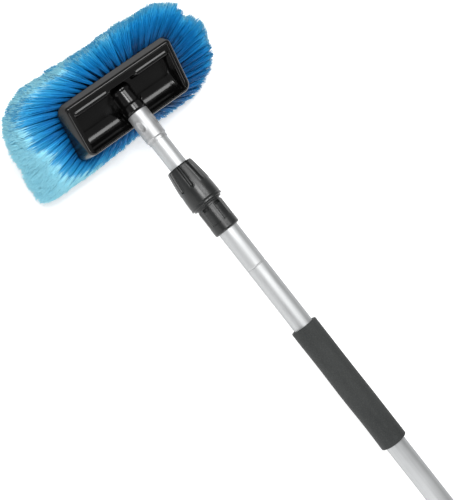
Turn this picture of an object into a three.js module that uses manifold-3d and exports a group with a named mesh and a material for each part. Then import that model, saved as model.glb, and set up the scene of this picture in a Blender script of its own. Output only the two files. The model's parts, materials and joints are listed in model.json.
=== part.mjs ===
// Telescopic car wash brush with a water-fed pole, in millimetres.
// Pole frame: +X runs along the pole from the head to the hose end, +Y across it, and +Z out of
// the head's back. X is zero at the ferrule's head end. At the end of the file the brush is laid
// down, on its bristles and on its valve.
import * as THREE from 'three';
import { mergeVertices } from 'three/addons/utils/BufferGeometryUtils.js';
import Module from 'manifold-3d';

const wasm = await Module();
wasm.setup();

// Fits, shared by all pieces
const clearance = 0.3;
const runningClearance = 0.15;
const overrun = 2;
const weldDistance = 0.0001;

// Facets
const tubeSides = 28;
const hiddenSides = 20;
const valveSides = 20;
const smallSides = 16;
const detailSides = 8;
const ringSides = 6;
const arcSteps = 3;

// Telescopic tubes
const outerTubeRadius = 12.5;
const innerTubeRadius = 11;
const tubeWall = 0.9;
const outerTubeLength = 800;
const grooveWidth = 3;
const grooveDepth = 0.3;

// Where things lie along the pole
const ferruleLength = 40.5;
const tubeReveal = 37.3;
const nutLength = 54.6;
const collarBodyLength = 35.8;
const collarToGroove = 52.8;
const collarToGrip = 139.7;
const gripLength = 168.2;

// Head block: the back rim and its tilt to the pole
const neckAngle = THREE.MathUtils.degToRad(34.5);
const rimLength = 147.2;
const rimWidth = 66;
const rimReach = 41.8;
const rimRise = 33.5;
const rimWall = 3.2;
const rimEdge = 0.9;
const rimHeadCorner = 4;
const rimGripCorner = 9;

// Head block: the hollow in its back, which is a shallow recess with a scoop along it and a well
// round the neck
const recessDepth = 3;
const recessHeadCorner = 1.5;
const ledgeWidth = 12.3;
const ledgeEndWidth = 4;
const scoopSideStep = 0.6;
const scoopDepth = 20;
const scoopPower = 2.4;
const scoopSteps = 12;
const wellStart = 12;
const wellHalfWidth = 17;
const wellMiddle = 38;
const wellRound = 22;
const wellFootDepth = 8;

// Head block: the foot that the bristle plates lie under, and the domed face
const footHeadDepth = 15;
const footGripDepth = 28;
const footHeadOverhang = 2;
const footGripOverhang = 12;
const footEndOverhang = 3;
const footCorner = 12;
const footLedge = 1.5;
const faceDepth = 22;
const faceCorner = 23;
const faceLevels = 5;
const faceLastLevelShare = 0.94;
const plateThickness = 5;

// Head block: the neck and its water way
const neckLength = 32;
const neckRadius = 13;
const neckHeadRingRadius = 13.7;
const neckHeadRingLength = 3.5;
const neckMouthRingRadius = 14;
const neckMouthRingLength = 10.5;
const neckChamfer = 1;
const neckSink = 10;
const webDepth = 60;
const webWidth = 25;
const outletRadius = 3.5;
const waterWayRadius = 5;
const waterWayLength = 7;

// Bristles
const tuftPitch = 6.3;
const tuftRows = 7;
const tuftFirstRowShare = 0.09;
const tuftLastRowShare = 0.93;
const tuftSides = 3;
const tuftRootRadius = 1.7;
const tuftTipRadius = 3.4;
const tuftSink = 2;
const tuftMargin = 2.2;
const tipHalfWidth = 67.5;
const tipHalfLength = 138.5;
const tipShift = 9.5;
const tipDrop = 35;
const tipDepth = 51;
const tipHeadCorner = 56;
const tipGripCorner = 18;
const tipPower = 2.1;
const tipFirstRowShare = 0;
const tipLastRowShare = 0.9;
const floorCut = 0.5;

// Threaded spigot, its washer and the ferrule
const spigotThreadRadius = 9;
const spigotThreadLength = 20;
const spigotFlangeLength = 5;
const spigotPlugLength = 22;
const spigotBore = 6;
const washerThickness = 3.4;
const washerBore = 5.5;
const ferruleRadius = 13.1;
const ferruleLip = 0.7;
const ferruleRound = 1.6;
const ferruleStepLength = 4.7;
const ferruleStepRadius = 11.8;
const ferruleCrimpDepth = 0.35;
const ferruleCrimpWidth = 2.4;
const ferruleCrimpPlace = 31.5;
const dimplePlace = 17.6;
const dimpleTurn = THREE.MathUtils.degToRad(48);
const dimpleLength = 6.5;
const dimpleWidth = 4.2;
const dimpleDepth = 1;

// Guide bush at the inner tube's end, with two rings. The park room is what is left behind it in
// the outer tube as the brush stands here.
const bushParkRoom = 38.8;
const bushPlugLength = 16;
const bushFlangeLength = 15;
const bushBore = 6.8;
const ringSection = 0.95;
const ringGrooveWidth = 2.6;
const ringGrooveInset = 3.5;
const ringRest = 0.2;

// Twist lock: nut
const nutTopRadius = 16.1;
const nutBellyRadius = 20.4;
const nutRound = 1.6;
const nutLipLength = 3.4;
const nutLipRound = 1.2;
const nutSkirtRadius = 18.6;
const nutSkirtLength = 2.2;
const nutCurveSteps = 5;
const nutTopWall = 3.2;
const nutHoleRadius = 11.6;
const nutConeStart = 13.2;
const nutConeEnd = 15.3;
const nutConeLength = 18;
const threadRadius = 15.3;
const fluteCount = 8;
const fluteRadius = 2.3;
const fluteDepth = 1.1;
const fluteLengthShare = 0.52;

// Twist lock: collet and body
const colletFoot = 4;
const colletSlits = 4;
const colletSlitWidth = 1.6;
const colletSlitShare = 0.7;
const collarBodyRadius = 16.25;
const collarNeckLength = 2.2;
const collarEdge = 1.3;
const collarStop = 3.7;
const panelCount = 6;
const panelWidth = 9;
const panelLength = 21;
const panelDepth = 0.8;

// Foam grip
const gripRadius = 16.9;
const gripRound = 2.2;

// Valve at the hose end
const socketLength = 30;
const socketRadius = 15.6;
const socketRib = 0.7;
const socketRibs = 3;
const socketRibPitch = 4.6;
const socketRibTopShare = 0.33;
const socketRibSlopeShare = 0.5;
const socketRibFootShare = 0.9;
const valveRadius = 18;
const valveShoulder = 4;
const valveBarrelLength = 30;
const valveMouthRadius = 13.4;
const valveMouthLength = 12;
const valveEdge = 1.4;
const gasketThickness = 1.6;
const gasketBore = 8;
const valveWall = 3.8;
const valveBore = 6.5;
const pocketRadius = 9.8;
const ballRadius = 9.3;
const ballBore = 5.5;
const seatDepth = 10.7;
const seatLip = 7.3;
const seatHeel = 5;
const seatBore = 6.2;
const bossRadius = 7.5;
const bossHeight = 23.2;
const stemRadius = 3.8;
const stemTongueWidth = 2.4;
const stemTongueLength = 6.4;
const stemTongueDepth = 2;
const stemFoot = 9.3;
const stemRingPlace = 15.5;
const stemRingSection = 0.8;
const stemSquare = 5;
const stemSquareHeight = 4.2;
const leverLength = 46;
const leverHubRadius = 8;
const leverTipRadius = 5;
const leverThickness = 4.6;
const leverRidges = 4;
const leverRidgePitch = 4;
const leverRidgeWidth = 1.6;
const leverRidgeHeight = 0.7;
const leverRidgeLength = 7;
const screwRadius = 1.4;
const screwLength = 10;
const screwHeadRadius = 3.5;
const screwHeadHeight = 2;
const screwSlotWidth = 0.9;
const screwSlotDepth = 1;
const sideScrewPlace = 14;
const sideScrewHeadRadius = 3;
const sideScrewHeadHeight = 1.4;
const sideScrewReach = 3.2;

// Hose nipple
const nippleGasketThickness = 1.8;
const nippleFlangeRadius = 13.4;
const nippleFlangeLength = 5.5;
const nippleFlangeSides = 6;
const nippleBore = 5;
const nippleTailRadius = 8.3;
const nippleTailLength = 7;
const nippleClawRadius = 6.9;
const nippleClawLength = 4;
const nippleCollarLength = 4;
const nippleSealRadius = 5.9;
const nippleSealLength = 2.8;
const nippleNoseRadius = 7.6;
const nippleNoseLength = 6.5;
const nippleNoseTaper = 1.6;
const nippleRingSection = 1.1;

// Stations along the pole, worked out from the lengths above
const nutStart = ferruleLength + tubeReveal;
const nutEnd = nutStart + nutLength;
const coneStart = nutStart + nutTopWall;
const coneEnd = coneStart + nutConeLength;
const colletStart = coneStart + clearance;
const colletEnd = coneEnd + colletFoot;
const collarStart = nutEnd + clearance;
const collarEnd = collarStart + collarBodyLength;
const outerTubeStart = collarStart + collarStop;
const outerTubeEnd = outerTubeStart + outerTubeLength;
const grooveAt = collarEnd + collarToGroove;
const gripStart = collarEnd + collarToGrip;
const innerTubeStart = ferruleLip + clearance + spigotFlangeLength + clearance;
const innerTubeEnd = outerTubeEnd - bushParkRoom - bushFlangeLength - clearance;
const innerTubeBore = innerTubeRadius - tubeWall;
const outerTubeBore = outerTubeRadius - tubeWall;
const gasketStart = outerTubeEnd + clearance;
const shoulderAt = gasketStart + gasketThickness + clearance;
const pocketStart = shoulderAt + valveWall;
const ballAt = pocketStart + clearance + seatDepth;
const nippleStart = ballAt + seatDepth + clearance;
const barrelStart = outerTubeEnd + valveShoulder;
const barrelEnd = barrelStart + valveBarrelLength;
const mouthEnd = barrelEnd + valveMouthLength;
const nippleFlangeStart = mouthEnd + nippleGasketThickness + clearance + clearance;

// Colours, roughness and metalness of the finishes
const finishes = {
  bristle: { color: 0x1f7fc8, roughness: 0.7, metalness: 0 },
  blackPlastic: { color: 0x0b0b0c, roughness: 0.22, metalness: 0 },
  greyPlastic: { color: 0x33373a, roughness: 0.5, metalness: 0 },
  whitePlastic: { color: 0xd8d8d4, roughness: 0.5, metalness: 0 },
  aluminium: { color: 0xd3d6d8, roughness: 0.32, metalness: 0.95 },
  ferrule: { color: 0xdcdedf, roughness: 0.26, metalness: 0.95 },
  rubber: { color: 0x161616, roughness: 0.85, metalness: 0 },
  foam: { color: 0x3d403f, roughness: 0.95, metalness: 0 },
  steel: { color: 0xb9bcbf, roughness: 0.3, metalness: 1 },
  brass: { color: 0xc9a85a, roughness: 0.3, metalness: 1 },
};

// Turns a closed geometry into a solid, with its shared vertices merged and its faces outwards
function solidOf(geometry) {
  const bare = geometry.clone();
  bare.deleteAttribute('normal');
  bare.deleteAttribute('uv');
  const merged = mergeVertices(bare, weldDistance);
  const position = merged.attributes.position;
  const source = merged.index.array;
  const corners = [0, 1, 2].map(() => new THREE.Vector3());
  const triangles = [];
  let volume = 0;
  for (let i = 0; i < source.length; i += 3) {
    const [a, b, c] = source.slice(i, i + 3);
    if (a === b || b === c || c === a) continue;
    triangles.push(a, b, c);
    corners.forEach((corner, k) => corner.fromBufferAttribute(position, source[i + k]));
    volume += corners[0].dot(corners[1].clone().cross(corners[2]));
  }
  if (volume < 0) triangles.reverse();
  return new wasm.Manifold(new wasm.Mesh({
    numProp: 3,
    vertProperties: new Float32Array(position.array),
    triVerts: new Uint32Array(triangles),
  }));
}

// Gives a solid back as a geometry
function geometryOf(solid) {
  const mesh = solid.getMesh();
  const geometry = new THREE.BufferGeometry();
  geometry.setAttribute('position', new THREE.BufferAttribute(mesh.vertProperties, mesh.numProp));
  geometry.setIndex(new THREE.BufferAttribute(mesh.triVerts, 1));
  geometry.computeVertexNormals();
  return geometry;
}

// Cuts a list of geometries from a solid
function cutAll(solid, geometries) {
  return geometries.reduce((rest, geometry) => rest.subtract(solidOf(geometry)), solid);
}

// Joins a list of geometries to a solid
function joinAll(solid, geometries) {
  return geometries.reduce((whole, geometry) => whole.add(solidOf(geometry)), solid);
}

// Revolves [x, radius] pairs about the X axis. A profile off the axis closes on itself.
function turned(profile, sides = hiddenSides) {
  const points = profile.map(([x, radius]) => new THREE.Vector2(radius, x));
  if (profile.every(([, radius]) => radius > 0)) points.push(points[0].clone());
  return new THREE.LatheGeometry(points, sides).rotateZ(-Math.PI / 2);
}

// A plain tube and a plain rod along X
function tube(start, end, radius, bore, sides = hiddenSides) {
  return turned([[start, bore], [start, radius], [end, radius], [end, bore]], sides);
}

function rod(start, end, radius, sides = hiddenSides) {
  return turned([[start, 0], [start, radius], [end, radius], [end, 0]], sides);
}

// A rod along Z, standing at a place on the X axis
function post(x, low, high, radius, sides = smallSides) {
  return rod(low, high, radius, sides).rotateY(-Math.PI / 2).translate(x, 0, 0);
}

// A round ring about the X axis
function sealRing(x, middleRadius, section, sides = smallSides) {
  return new THREE.TorusGeometry(middleRadius, section, ringSides, sides)
    .rotateY(Math.PI / 2)
    .translate(x, 0, 0);
}

// A box between two corners
function block(low, high) {
  const size = high.map((value, k) => value - low[k]);
  const middle = high.map((value, k) => (value + low[k]) / 2);
  return new THREE.BoxGeometry(...size).translate(...middle);
}

// Points of a quarter circle as [x, radius] pairs, from one angle to another
function arc(x, radius, round, from, to) {
  return Array.from({ length: arcSteps + 1 }, (_, k) => {
    const angle = from + (to - from) * k / arcSteps;
    return [x + round * Math.cos(angle), radius + round * Math.sin(angle)];
  });
}

// A prism along Y, from an outline of [x, z] pairs
function prismAlongY(outline, low, high) {
  const shape = new THREE.Shape(outline.map(([x, z]) => new THREE.Vector2(x, z)));
  return new THREE.ExtrudeGeometry(shape, { depth: high - low, bevelEnabled: false })
    .rotateX(Math.PI / 2)
    .translate(0, high, 0);
}

// A closed solid through rings of as many points each, with a flat cap on its first and last ring
function loft(rings) {
  const count = rings[0].length;
  const positions = rings.flat().flatMap((point) => point.toArray());
  const index = [];
  for (let k = 0; k + 1 < rings.length; k += 1) {
    for (let i = 0; i < count; i += 1) {
      const a = k * count + i;
      const b = k * count + (i + 1) % count;
      index.push(a, b, b + count, a, b + count, a + count);
    }
  }
  [0, rings.length - 1].forEach((k) => {
    const middle = new THREE.Vector3();
    rings[k].forEach((point) => middle.add(point));
    const centre = positions.length / 3;
    positions.push(...middle.divideScalar(count).toArray());
    for (let i = 0; i < count; i += 1) {
      const a = k * count + i;
      const b = k * count + (i + 1) % count;
      index.push(...(k === 0 ? [centre, b, a] : [centre, a, b]));
    }
  });
  const geometry = new THREE.BufferGeometry();
  geometry.setAttribute('position', new THREE.Float32BufferAttribute(positions, 3));
  geometry.setIndex(index);
  return geometry;
}

// The corners of a rounded rectangle: its centre, and the angle at which each quarter arc starts
function cornersOf(low, high, radii) {
  return [
    { a: high.a - radii.high, b: high.b - radii.high, radius: radii.high, from: 0 },
    { a: low.a + radii.low, b: high.b - radii.low, radius: radii.low, from: Math.PI / 2 },
    { a: low.a + radii.low, b: low.b + radii.low, radius: radii.low, from: Math.PI },
    { a: high.a - radii.high, b: low.b + radii.high, radius: radii.high, from: Math.PI * 1.5 },
  ];
}

// A ring in the shape of a rounded rectangle, from low to high, at one height
function roundedRing(low, high, radii, height) {
  return cornersOf(low, high, radii).flatMap(({ a, b, radius, from }) => (
    Array.from({ length: arcSteps + 1 }, (_, k) => {
      const angle = from + Math.PI / 2 * k / arcSteps;
      return new THREE.Vector3(a + radius * Math.cos(angle), b + radius * Math.sin(angle), height);
    })
  ));
}

// The head's frames. The rim frame has +X from the rim's head edge towards the grip and +Z out of
// the back. The face frame lies in the foot's plane, at its middle.
const rimMatrix = new THREE.Matrix4()
  .makeTranslation(-rimReach, 0, rimRise)
  .multiply(new THREE.Matrix4().makeRotationY(neckAngle));
const footSpan = rimWidth + footHeadOverhang + footGripOverhang;
const footDrop = footGripDepth - footHeadDepth;
const footTilt = Math.atan2(footDrop, footSpan);
const footHalfWidth = Math.hypot(footSpan, footDrop) / 2;
const footHalfLength = rimLength / 2 + footEndOverhang;
const faceMatrix = new THREE.Matrix4()
  .makeTranslation(footSpan / 2 - footHeadOverhang, 0, -(footHeadDepth + footGripDepth) / 2)
  .multiply(new THREE.Matrix4().makeRotationY(footTilt));
const headMatrix = rimMatrix.clone().multiply(faceMatrix);
const faceHalfWidth = footHalfWidth - footLedge;
const faceHalfLength = footHalfLength - footLedge;

// A ring of a dome whose section across its width is a quarter ellipse, from its edge at share 0
// to its ridge at share 1. power 2 is a true ellipse, and more is squarer.
function domeLevel(dome, share) {
  const angle = Math.PI / 2 * share;
  const across = Math.cos(angle) ** (2 / dome.power);
  const halfWidth = dome.halfWidth * across;
  return {
    halfWidth,
    halfLength: dome.halfLength - dome.halfWidth + halfWidth,
    headCorner: dome.headCorner * across,
    gripCorner: dome.gripCorner * across,
    height: -dome.drop - dome.depth * Math.sin(angle) ** (2 / dome.power),
    shift: dome.shift,
  };
}

function domeRing({ halfWidth, halfLength, headCorner, gripCorner, height, shift }) {
  return roundedRing(
    { a: shift - halfWidth, b: -halfLength },
    { a: shift + halfWidth, b: halfLength },
    { low: headCorner, high: gripCorner },
    height,
  );
}

const face = {
  halfWidth: faceHalfWidth,
  halfLength: faceHalfLength,
  headCorner: faceCorner,
  gripCorner: faceCorner,
  drop: 0,
  depth: faceDepth,
  power: 2,
  shift: 0,
};
const tips = {
  halfWidth: tipHalfWidth,
  halfLength: tipHalfLength,
  headCorner: tipHeadCorner,
  gripCorner: tipGripCorner,
  drop: tipDrop,
  depth: tipDepth,
  power: tipPower,
  shift: tipShift,
};

// The domed face, shrunk all round by an inset, starting a rise above the foot's plane
function dome(inset, rise) {
  const shrunk = {
    ...face,
    halfWidth: face.halfWidth - inset,
    halfLength: face.halfLength - inset,
    headCorner: face.headCorner - inset,
    gripCorner: face.gripCorner - inset,
    depth: face.depth - inset,
  };
  const rings = Array.from({ length: faceLevels + 1 }, (_, k) => (
    domeRing(domeLevel(shrunk, faceLastLevelShare * k / faceLevels))
  ));
  return loft([domeRing({ ...domeLevel(shrunk, 0), height: rise }), ...rings]);
}

// The recess inside the back's rim
function recess() {
  const ring = (height) => roundedRing(
    { a: rimWall, b: rimWall - rimLength / 2 },
    { a: rimWidth - rimWall, b: rimLength / 2 - rimWall },
    { low: recessHeadCorner, high: rimGripCorner - rimWall },
    height,
  );
  return loft([ring(overrun), ring(-recessDepth)]);
}

// The scoop: half a squared ellipse across the back, carried on along it
function scoop() {
  const low = rimWall + ledgeWidth;
  const high = rimWidth - rimWall - scoopSideStep;
  const halfLength = rimLength / 2 - rimWall - ledgeEndWidth;
  const curve = Array.from({ length: scoopSteps + 1 }, (_, k) => {
    const angle = Math.PI * k / scoopSteps;
    const across = Math.sign(Math.cos(angle)) * Math.abs(Math.cos(angle)) ** (2 / scoopPower);
    const down = Math.abs(Math.sin(angle)) ** (2 / scoopPower);
    return [(low + high - across * (high - low)) / 2, -recessDepth - scoopDepth * down];
  });
  return prismAlongY([...curve, [high, overrun], [low, overrun]], -halfLength, halfLength);
}

// The well: straight beside the neck's head end and round beside its mouth. Its floor lies a little
// under the foot's plane.
function well() {
  const lean = Math.asin(wellHalfWidth / wellRound);
  const outline = new THREE.Shape();
  outline.moveTo(wellStart, -wellHalfWidth);
  outline.absarc(wellMiddle, 0, wellRound, lean - Math.PI, Math.PI - lean, false);
  outline.lineTo(wellStart, wellHalfWidth);
  const depth = footGripDepth + faceDepth;
  const shaft = new THREE.ExtrudeGeometry(outline, {
    depth: depth + overrun,
    bevelEnabled: false,
    curveSegments: detailSides,
  }).translate(0, 0, -depth);
  const reach = rimLength;
  const under = block([-reach, -reach, -reach], [reach, reach, -wellFootDepth]);
  return cutAll(solidOf(shaft), [under.applyMatrix4(faceMatrix)]);
}

// The block's outside, from the back rim down to the foot
function blockWalls() {
  const rim = (inset, height) => roundedRing(
    { a: inset, b: inset - rimLength / 2 },
    { a: rimWidth - inset, b: rimLength / 2 - inset },
    { low: rimHeadCorner, high: rimGripCorner },
    height,
  );
  const foot = roundedRing(
    { a: -footHalfWidth, b: -footHalfLength },
    { a: footHalfWidth, b: footHalfLength },
    { low: footCorner, high: footCorner },
    clearance,
  ).map((point) => point.applyMatrix4(faceMatrix));
  return loft([rim(rimEdge, 0), rim(0, -rimEdge), foot]);
}

// The neck's outside, coaxial with the pole, with a ring at each end
function neckShape() {
  const ringEnd = -neckLength + neckHeadRingLength;
  const mouthStart = -neckMouthRingLength;
  return turned([
    [-neckLength, 0],
    [-neckLength, neckHeadRingRadius],
    [ringEnd, neckHeadRingRadius],
    [ringEnd, neckRadius],
    [mouthStart, neckRadius],
    [mouthStart, neckMouthRingRadius],
    [-clearance - neckChamfer, neckMouthRingRadius],
    [-clearance, neckMouthRingRadius - neckChamfer],
    [-clearance, 0],
  ], tubeSides);
}

const washerStart = -spigotThreadLength - clearance - washerThickness;
const neckBoreEnd = washerStart - clearance;

// The water's way out of the neck: a hole square to the foot's plane, through the face
function outlet() {
  const mouth = new THREE.Vector3(neckBoreEnd - waterWayLength + outletRadius, 0, 0)
    .applyMatrix4(headMatrix.clone().invert());
  return post(mouth.x, -faceDepth - overrun, mouth.z, outletRadius);
}

// The head block: walls, hollow, web and neck in one moulding
function makeBlock() {
  const inner = plateThickness + clearance;
  const outside = joinAll(solidOf(blockWalls()), [dome(inner, overrun).applyMatrix4(faceMatrix)]);
  const hollow = joinAll(solidOf(recess()), [scoop()]).add(well());
  const web = block([-neckLength, -webWidth / 2, -webDepth], [neckMouthRingLength, webWidth / 2, 0]);
  const shell = outside.subtract(cutAll(hollow, [web.applyMatrix4(rimMatrix.clone().invert())]));
  const underFoot = block([-rimLength, -rimLength, -rimLength], [rimLength, rimLength, -neckSink]);
  const neck = cutAll(solidOf(neckShape()), [underFoot.applyMatrix4(headMatrix)]);
  const placed = solidOf(geometryOf(shell).applyMatrix4(rimMatrix));
  return cutAll(placed.add(neck), [
    rod(-clearance, rimReach, ferruleRadius + clearance),
    rod(neckBoreEnd, overrun, spigotThreadRadius + clearance),
    rod(neckBoreEnd - waterWayLength, neckBoreEnd + overrun, waterWayRadius),
    outlet().applyMatrix4(headMatrix),
  ]);
}

// A quarter of a ring, seen from the side that it starts on. Reach is how far that side lies from
// the ring's middle, and span how far the next side does.
function quarterOf({ halfWidth, halfLength, headCorner, gripCorner }, quarter) {
  const [reach, span] = quarter % 2 ? [halfLength, halfWidth] : [halfWidth, halfLength];
  return { reach, span, corner: quarter % 3 ? headCorner : gripCorner };
}

// A ring's eight stretches run from the middle of a side to the middle of a corner, and on from
// there to the middle of the next side
function stretchLength(ring, stretch) {
  const { reach, span, corner } = quarterOf(ring, Math.floor(stretch / 2));
  return (stretch % 2 ? reach : span) - corner + corner * Math.PI / 4;
}

function stretchPoint(ring, stretch, share) {
  const quarter = Math.floor(stretch / 2);
  const { reach, span, corner } = quarterOf(ring, quarter);
  const late = stretch % 2 === 1;
  const [near, far] = late ? [span, reach] : [reach, span];
  const along = stretchLength(ring, stretch) * (late ? 1 - share : share);
  const turn = Math.max(0, along - far + corner) / corner;
  const across = near - corner + corner * Math.cos(turn);
  const forward = Math.min(along, far - corner) + corner * Math.sin(turn);
  const point = late ? [forward, across] : [across, forward];
  return new THREE.Vector3(...point, ring.height)
    .applyAxisAngle(new THREE.Vector3(0, 0, 1), Math.PI / 2 * quarter)
    .add(new THREE.Vector3(ring.shift, 0, 0));
}

// Tufts in rings round the face. Each has its root on the face and its tip on the trimmed outline.
function placeTufts() {
  const tufts = [];
  for (let row = 0; row < tuftRows; row += 1) {
    const share = row / (tuftRows - 1);
    const root = domeLevel(face, THREE.MathUtils.lerp(tuftFirstRowShare, tuftLastRowShare, share));
    const tip = domeLevel(tips, THREE.MathUtils.lerp(tipFirstRowShare, tipLastRowShare, share));
    for (let stretch = 0; stretch < 8; stretch += 1) {
      const count = Math.max(1, Math.round(stretchLength(root, stretch) / tuftPitch));
      for (let k = 0; k < count; k += 1) {
        const along = (k + 0.5) / count;
        tufts.push({
          root: stretchPoint(root, stretch, along),
          tip: stretchPoint(tip, stretch, along),
        });
      }
    }
  }
  return tufts;
}

// A tuft that widens from its root to its tip, with its root sunk into the plate
function tuftShape({ root, tip }) {
  const direction = tip.clone().sub(root).normalize();
  const base = root.clone().addScaledVector(direction, -tuftSink);
  const length = tip.distanceTo(base);
  const up = new THREE.Vector3(0, 1, 0);
  return new THREE.CylinderGeometry(tuftTipRadius, tuftRootRadius, length, tuftSides)
    .translate(0, length / 2, 0)
    .applyQuaternion(new THREE.Quaternion().setFromUnitVectors(up, direction))
    .translate(...base.toArray());
}

// The face's four plates meet on a ridge and four hips, like a hipped roof. How far a point lies
// inside a plate's outline is the least of its distances to the plate's edges.
const ridgeHalf = faceHalfLength - faceHalfWidth;
const plateSectors = {
  bristles_head_side: (x, y) => Math.min(-x, (ridgeHalf - x - Math.abs(y)) * Math.SQRT1_2),
  bristles_grip_side: (x, y) => Math.min(x, (ridgeHalf + x - Math.abs(y)) * Math.SQRT1_2),
  bristles_right_end: (x, y) => (y - ridgeHalf - Math.abs(x)) * Math.SQRT1_2,
  bristles_left_end: (x, y) => (-y - ridgeHalf - Math.abs(x)) * Math.SQRT1_2,
};

// A plate's outline seen square to the foot, drawn in by half a clearance, as a tall prism
function sectorPrism(name) {
  const reach = faceHalfLength + faceDepth;
  const gap = clearance / 2;
  const hip = gap * Math.SQRT2;
  const ridge = ridgeHalf - gap * (Math.SQRT2 - 1);
  const far = ridge + reach - gap;
  const side = [[-gap, -ridge], [-gap, ridge], [-reach, far], [-reach, -far]];
  const foot = ridgeHalf + hip;
  const end = [[0, foot], [reach, foot + reach], [-reach, foot + reach]];
  const outlines = {
    bristles_head_side: side,
    bristles_grip_side: side.map(([x, y]) => [-x, y]),
    bristles_right_end: end,
    bristles_left_end: end.map(([x, y]) => [x, -y]),
  };
  const shape = new THREE.Shape(outlines[name].map(([x, y]) => new THREE.Vector2(x, y)));
  const height = faceDepth + overrun * 2;
  return new THREE.ExtrudeGeometry(shape, { depth: height, bevelEnabled: false })
    .translate(0, 0, overrun - height);
}

// The ground that the laid-down brush rests on, as a line in the pole frame: it touches the
// valve barrel's far edge and passes the lowest bristle by the depth of its flat cut
const tufts = placeTufts();

function groundTilt() {
  const points = tufts.flatMap((tuft) => {
    const { position } = tuftShape(tuft).applyMatrix4(headMatrix).attributes;
    return Array.from({ length: position.count }, (_, i) => (
      new THREE.Vector3().fromBufferAttribute(position, i)
    ));
  });
  return Math.max(...points.map(({ x, z }) => (
    Math.atan2(-valveRadius - z - floorCut, barrelEnd - valveEdge - x)
  )));
}

const layTilt = groundTilt();
const layMatrix = new THREE.Matrix4().makeRotationY(layTilt);
const ground = new THREE.Vector3(barrelEnd - valveEdge, 0, -valveRadius).applyMatrix4(layMatrix).z;

// Everything under the ground, seen from the face frame
function underGround() {
  const reach = tipHalfLength * 2;
  return block([-reach * 2, -reach, ground - reach], [reach, reach, ground])
    .applyMatrix4(layMatrix.clone().multiply(headMatrix).invert());
}

// One plate with its tufts
function makeBristles(name) {
  const inside = plateSectors[name];
  const shell = solidOf(dome(0, 0)).subtract(solidOf(dome(plateThickness, overrun)));
  const hole = outlet();
  hole.computeBoundingSphere();
  const middle = hole.boundingSphere.center;
  const clearOfHole = ({ root }) => (
    Math.hypot(root.x - middle.x, root.y) > outletRadius + tuftMargin
  );
  const own = tufts.filter((tuft) => (
    inside(tuft.root.x, tuft.root.y) > tuftMargin && clearOfHole(tuft)
  ));
  const plate = shell.intersect(solidOf(sectorPrism(name))).subtract(solidOf(hole));
  return joinAll(plate, own.map(tuftShape)).subtract(solidOf(underGround()));
}

// Rubber washer between the neck's floor and the spigot
function makeWasher() {
  const end = -spigotThreadLength - clearance;
  return solidOf(tube(washerStart, end, spigotThreadRadius, washerBore));
}

// Spigot: threaded into the neck, flanged in the ferrule and plugged into the inner tube
function makeSpigot() {
  const flangeStart = ferruleLip + clearance;
  const flangeEnd = flangeStart + spigotFlangeLength;
  const plugEnd = flangeEnd + spigotPlugLength;
  const plugRadius = innerTubeBore - clearance;
  return solidOf(turned([
    [-spigotThreadLength, spigotBore],
    [-spigotThreadLength, spigotThreadRadius],
    [flangeStart, spigotThreadRadius],
    [flangeStart, innerTubeRadius],
    [flangeEnd, innerTubeRadius],
    [flangeEnd, plugRadius],
    [plugEnd, plugRadius],
    [plugEnd, spigotBore],
  ]));
}

// Ferrule: a drawn sleeve with a lip at its head end, a crimp, a stepped tail and two staked dents
function makeFerrule() {
  const bore = innerTubeRadius + clearance;
  const stepStart = ferruleLength - ferruleStepLength;
  const crimpRadius = ferruleRadius - ferruleCrimpDepth;
  const sleeve = solidOf(turned([
    [ferruleLip, bore],
    [ferruleLip, spigotThreadRadius + clearance],
    [0, spigotThreadRadius + clearance],
    ...arc(ferruleRound, ferruleRadius - ferruleRound, ferruleRound, Math.PI, Math.PI / 2),
    [ferruleCrimpPlace - ferruleCrimpWidth / 2, ferruleRadius],
    [ferruleCrimpPlace, crimpRadius],
    [ferruleCrimpPlace + ferruleCrimpWidth / 2, ferruleRadius],
    [stepStart, ferruleRadius],
    [ferruleLength, ferruleStepRadius],
    [ferruleLength, bore],
  ], tubeSides));
  const dents = [dimpleTurn, -dimpleTurn].map((turn) => (
    new THREE.SphereGeometry(1, detailSides, detailSides)
      .scale(dimpleLength / 2, dimpleWidth / 2, dimpleDepth)
      .translate(dimplePlace, 0, ferruleRadius)
      .rotateX(turn)
  ));
  return cutAll(sleeve, dents);
}

// Guide bush: plugged into the inner tube's end, it slides in the outer tube on two rings
const bushStart = innerTubeEnd + clearance;
const bushRadius = outerTubeBore - runningClearance;
const bushRingRadius = bushRadius - ringSection;
const bushRingPlaces = [
  bushStart + ringGrooveInset,
  bushStart + bushFlangeLength - ringGrooveInset,
];

function makeGuideBush() {
  const grooveRadius = bushRingRadius - ringSection - ringRest;
  const grooves = bushRingPlaces.flatMap((x) => [
    [x - ringGrooveWidth / 2, bushRadius],
    [x - ringGrooveWidth / 2, grooveRadius],
    [x + ringGrooveWidth / 2, grooveRadius],
    [x + ringGrooveWidth / 2, bushRadius],
  ]);
  const plugStart = bushStart - bushPlugLength;
  return solidOf(turned([
    [plugStart, bushBore],
    [plugStart, innerTubeBore - clearance],
    [bushStart, innerTubeBore - clearance],
    [bushStart, bushRadius],
    ...grooves,
    [bushStart + bushFlangeLength, bushRadius],
    [bushStart + bushFlangeLength, bushBore],
  ]));
}

// Outer tube, with the rolled groove that stops the guide bush
function makeOuterTube() {
  const groove = (radius) => [
    [grooveAt - grooveWidth / 2, radius],
    [grooveAt, radius - grooveDepth],
    [grooveAt + grooveWidth / 2, radius],
  ];
  const body = solidOf(turned([
    [outerTubeStart, outerTubeBore],
    [outerTubeStart, outerTubeRadius],
    ...groove(outerTubeRadius),
    [outerTubeEnd, outerTubeRadius],
    [outerTubeEnd, outerTubeBore],
    ...groove(outerTubeBore).reverse(),
  ], tubeSides));
  return cutAll(body, sideScrewHoles());
}

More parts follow.
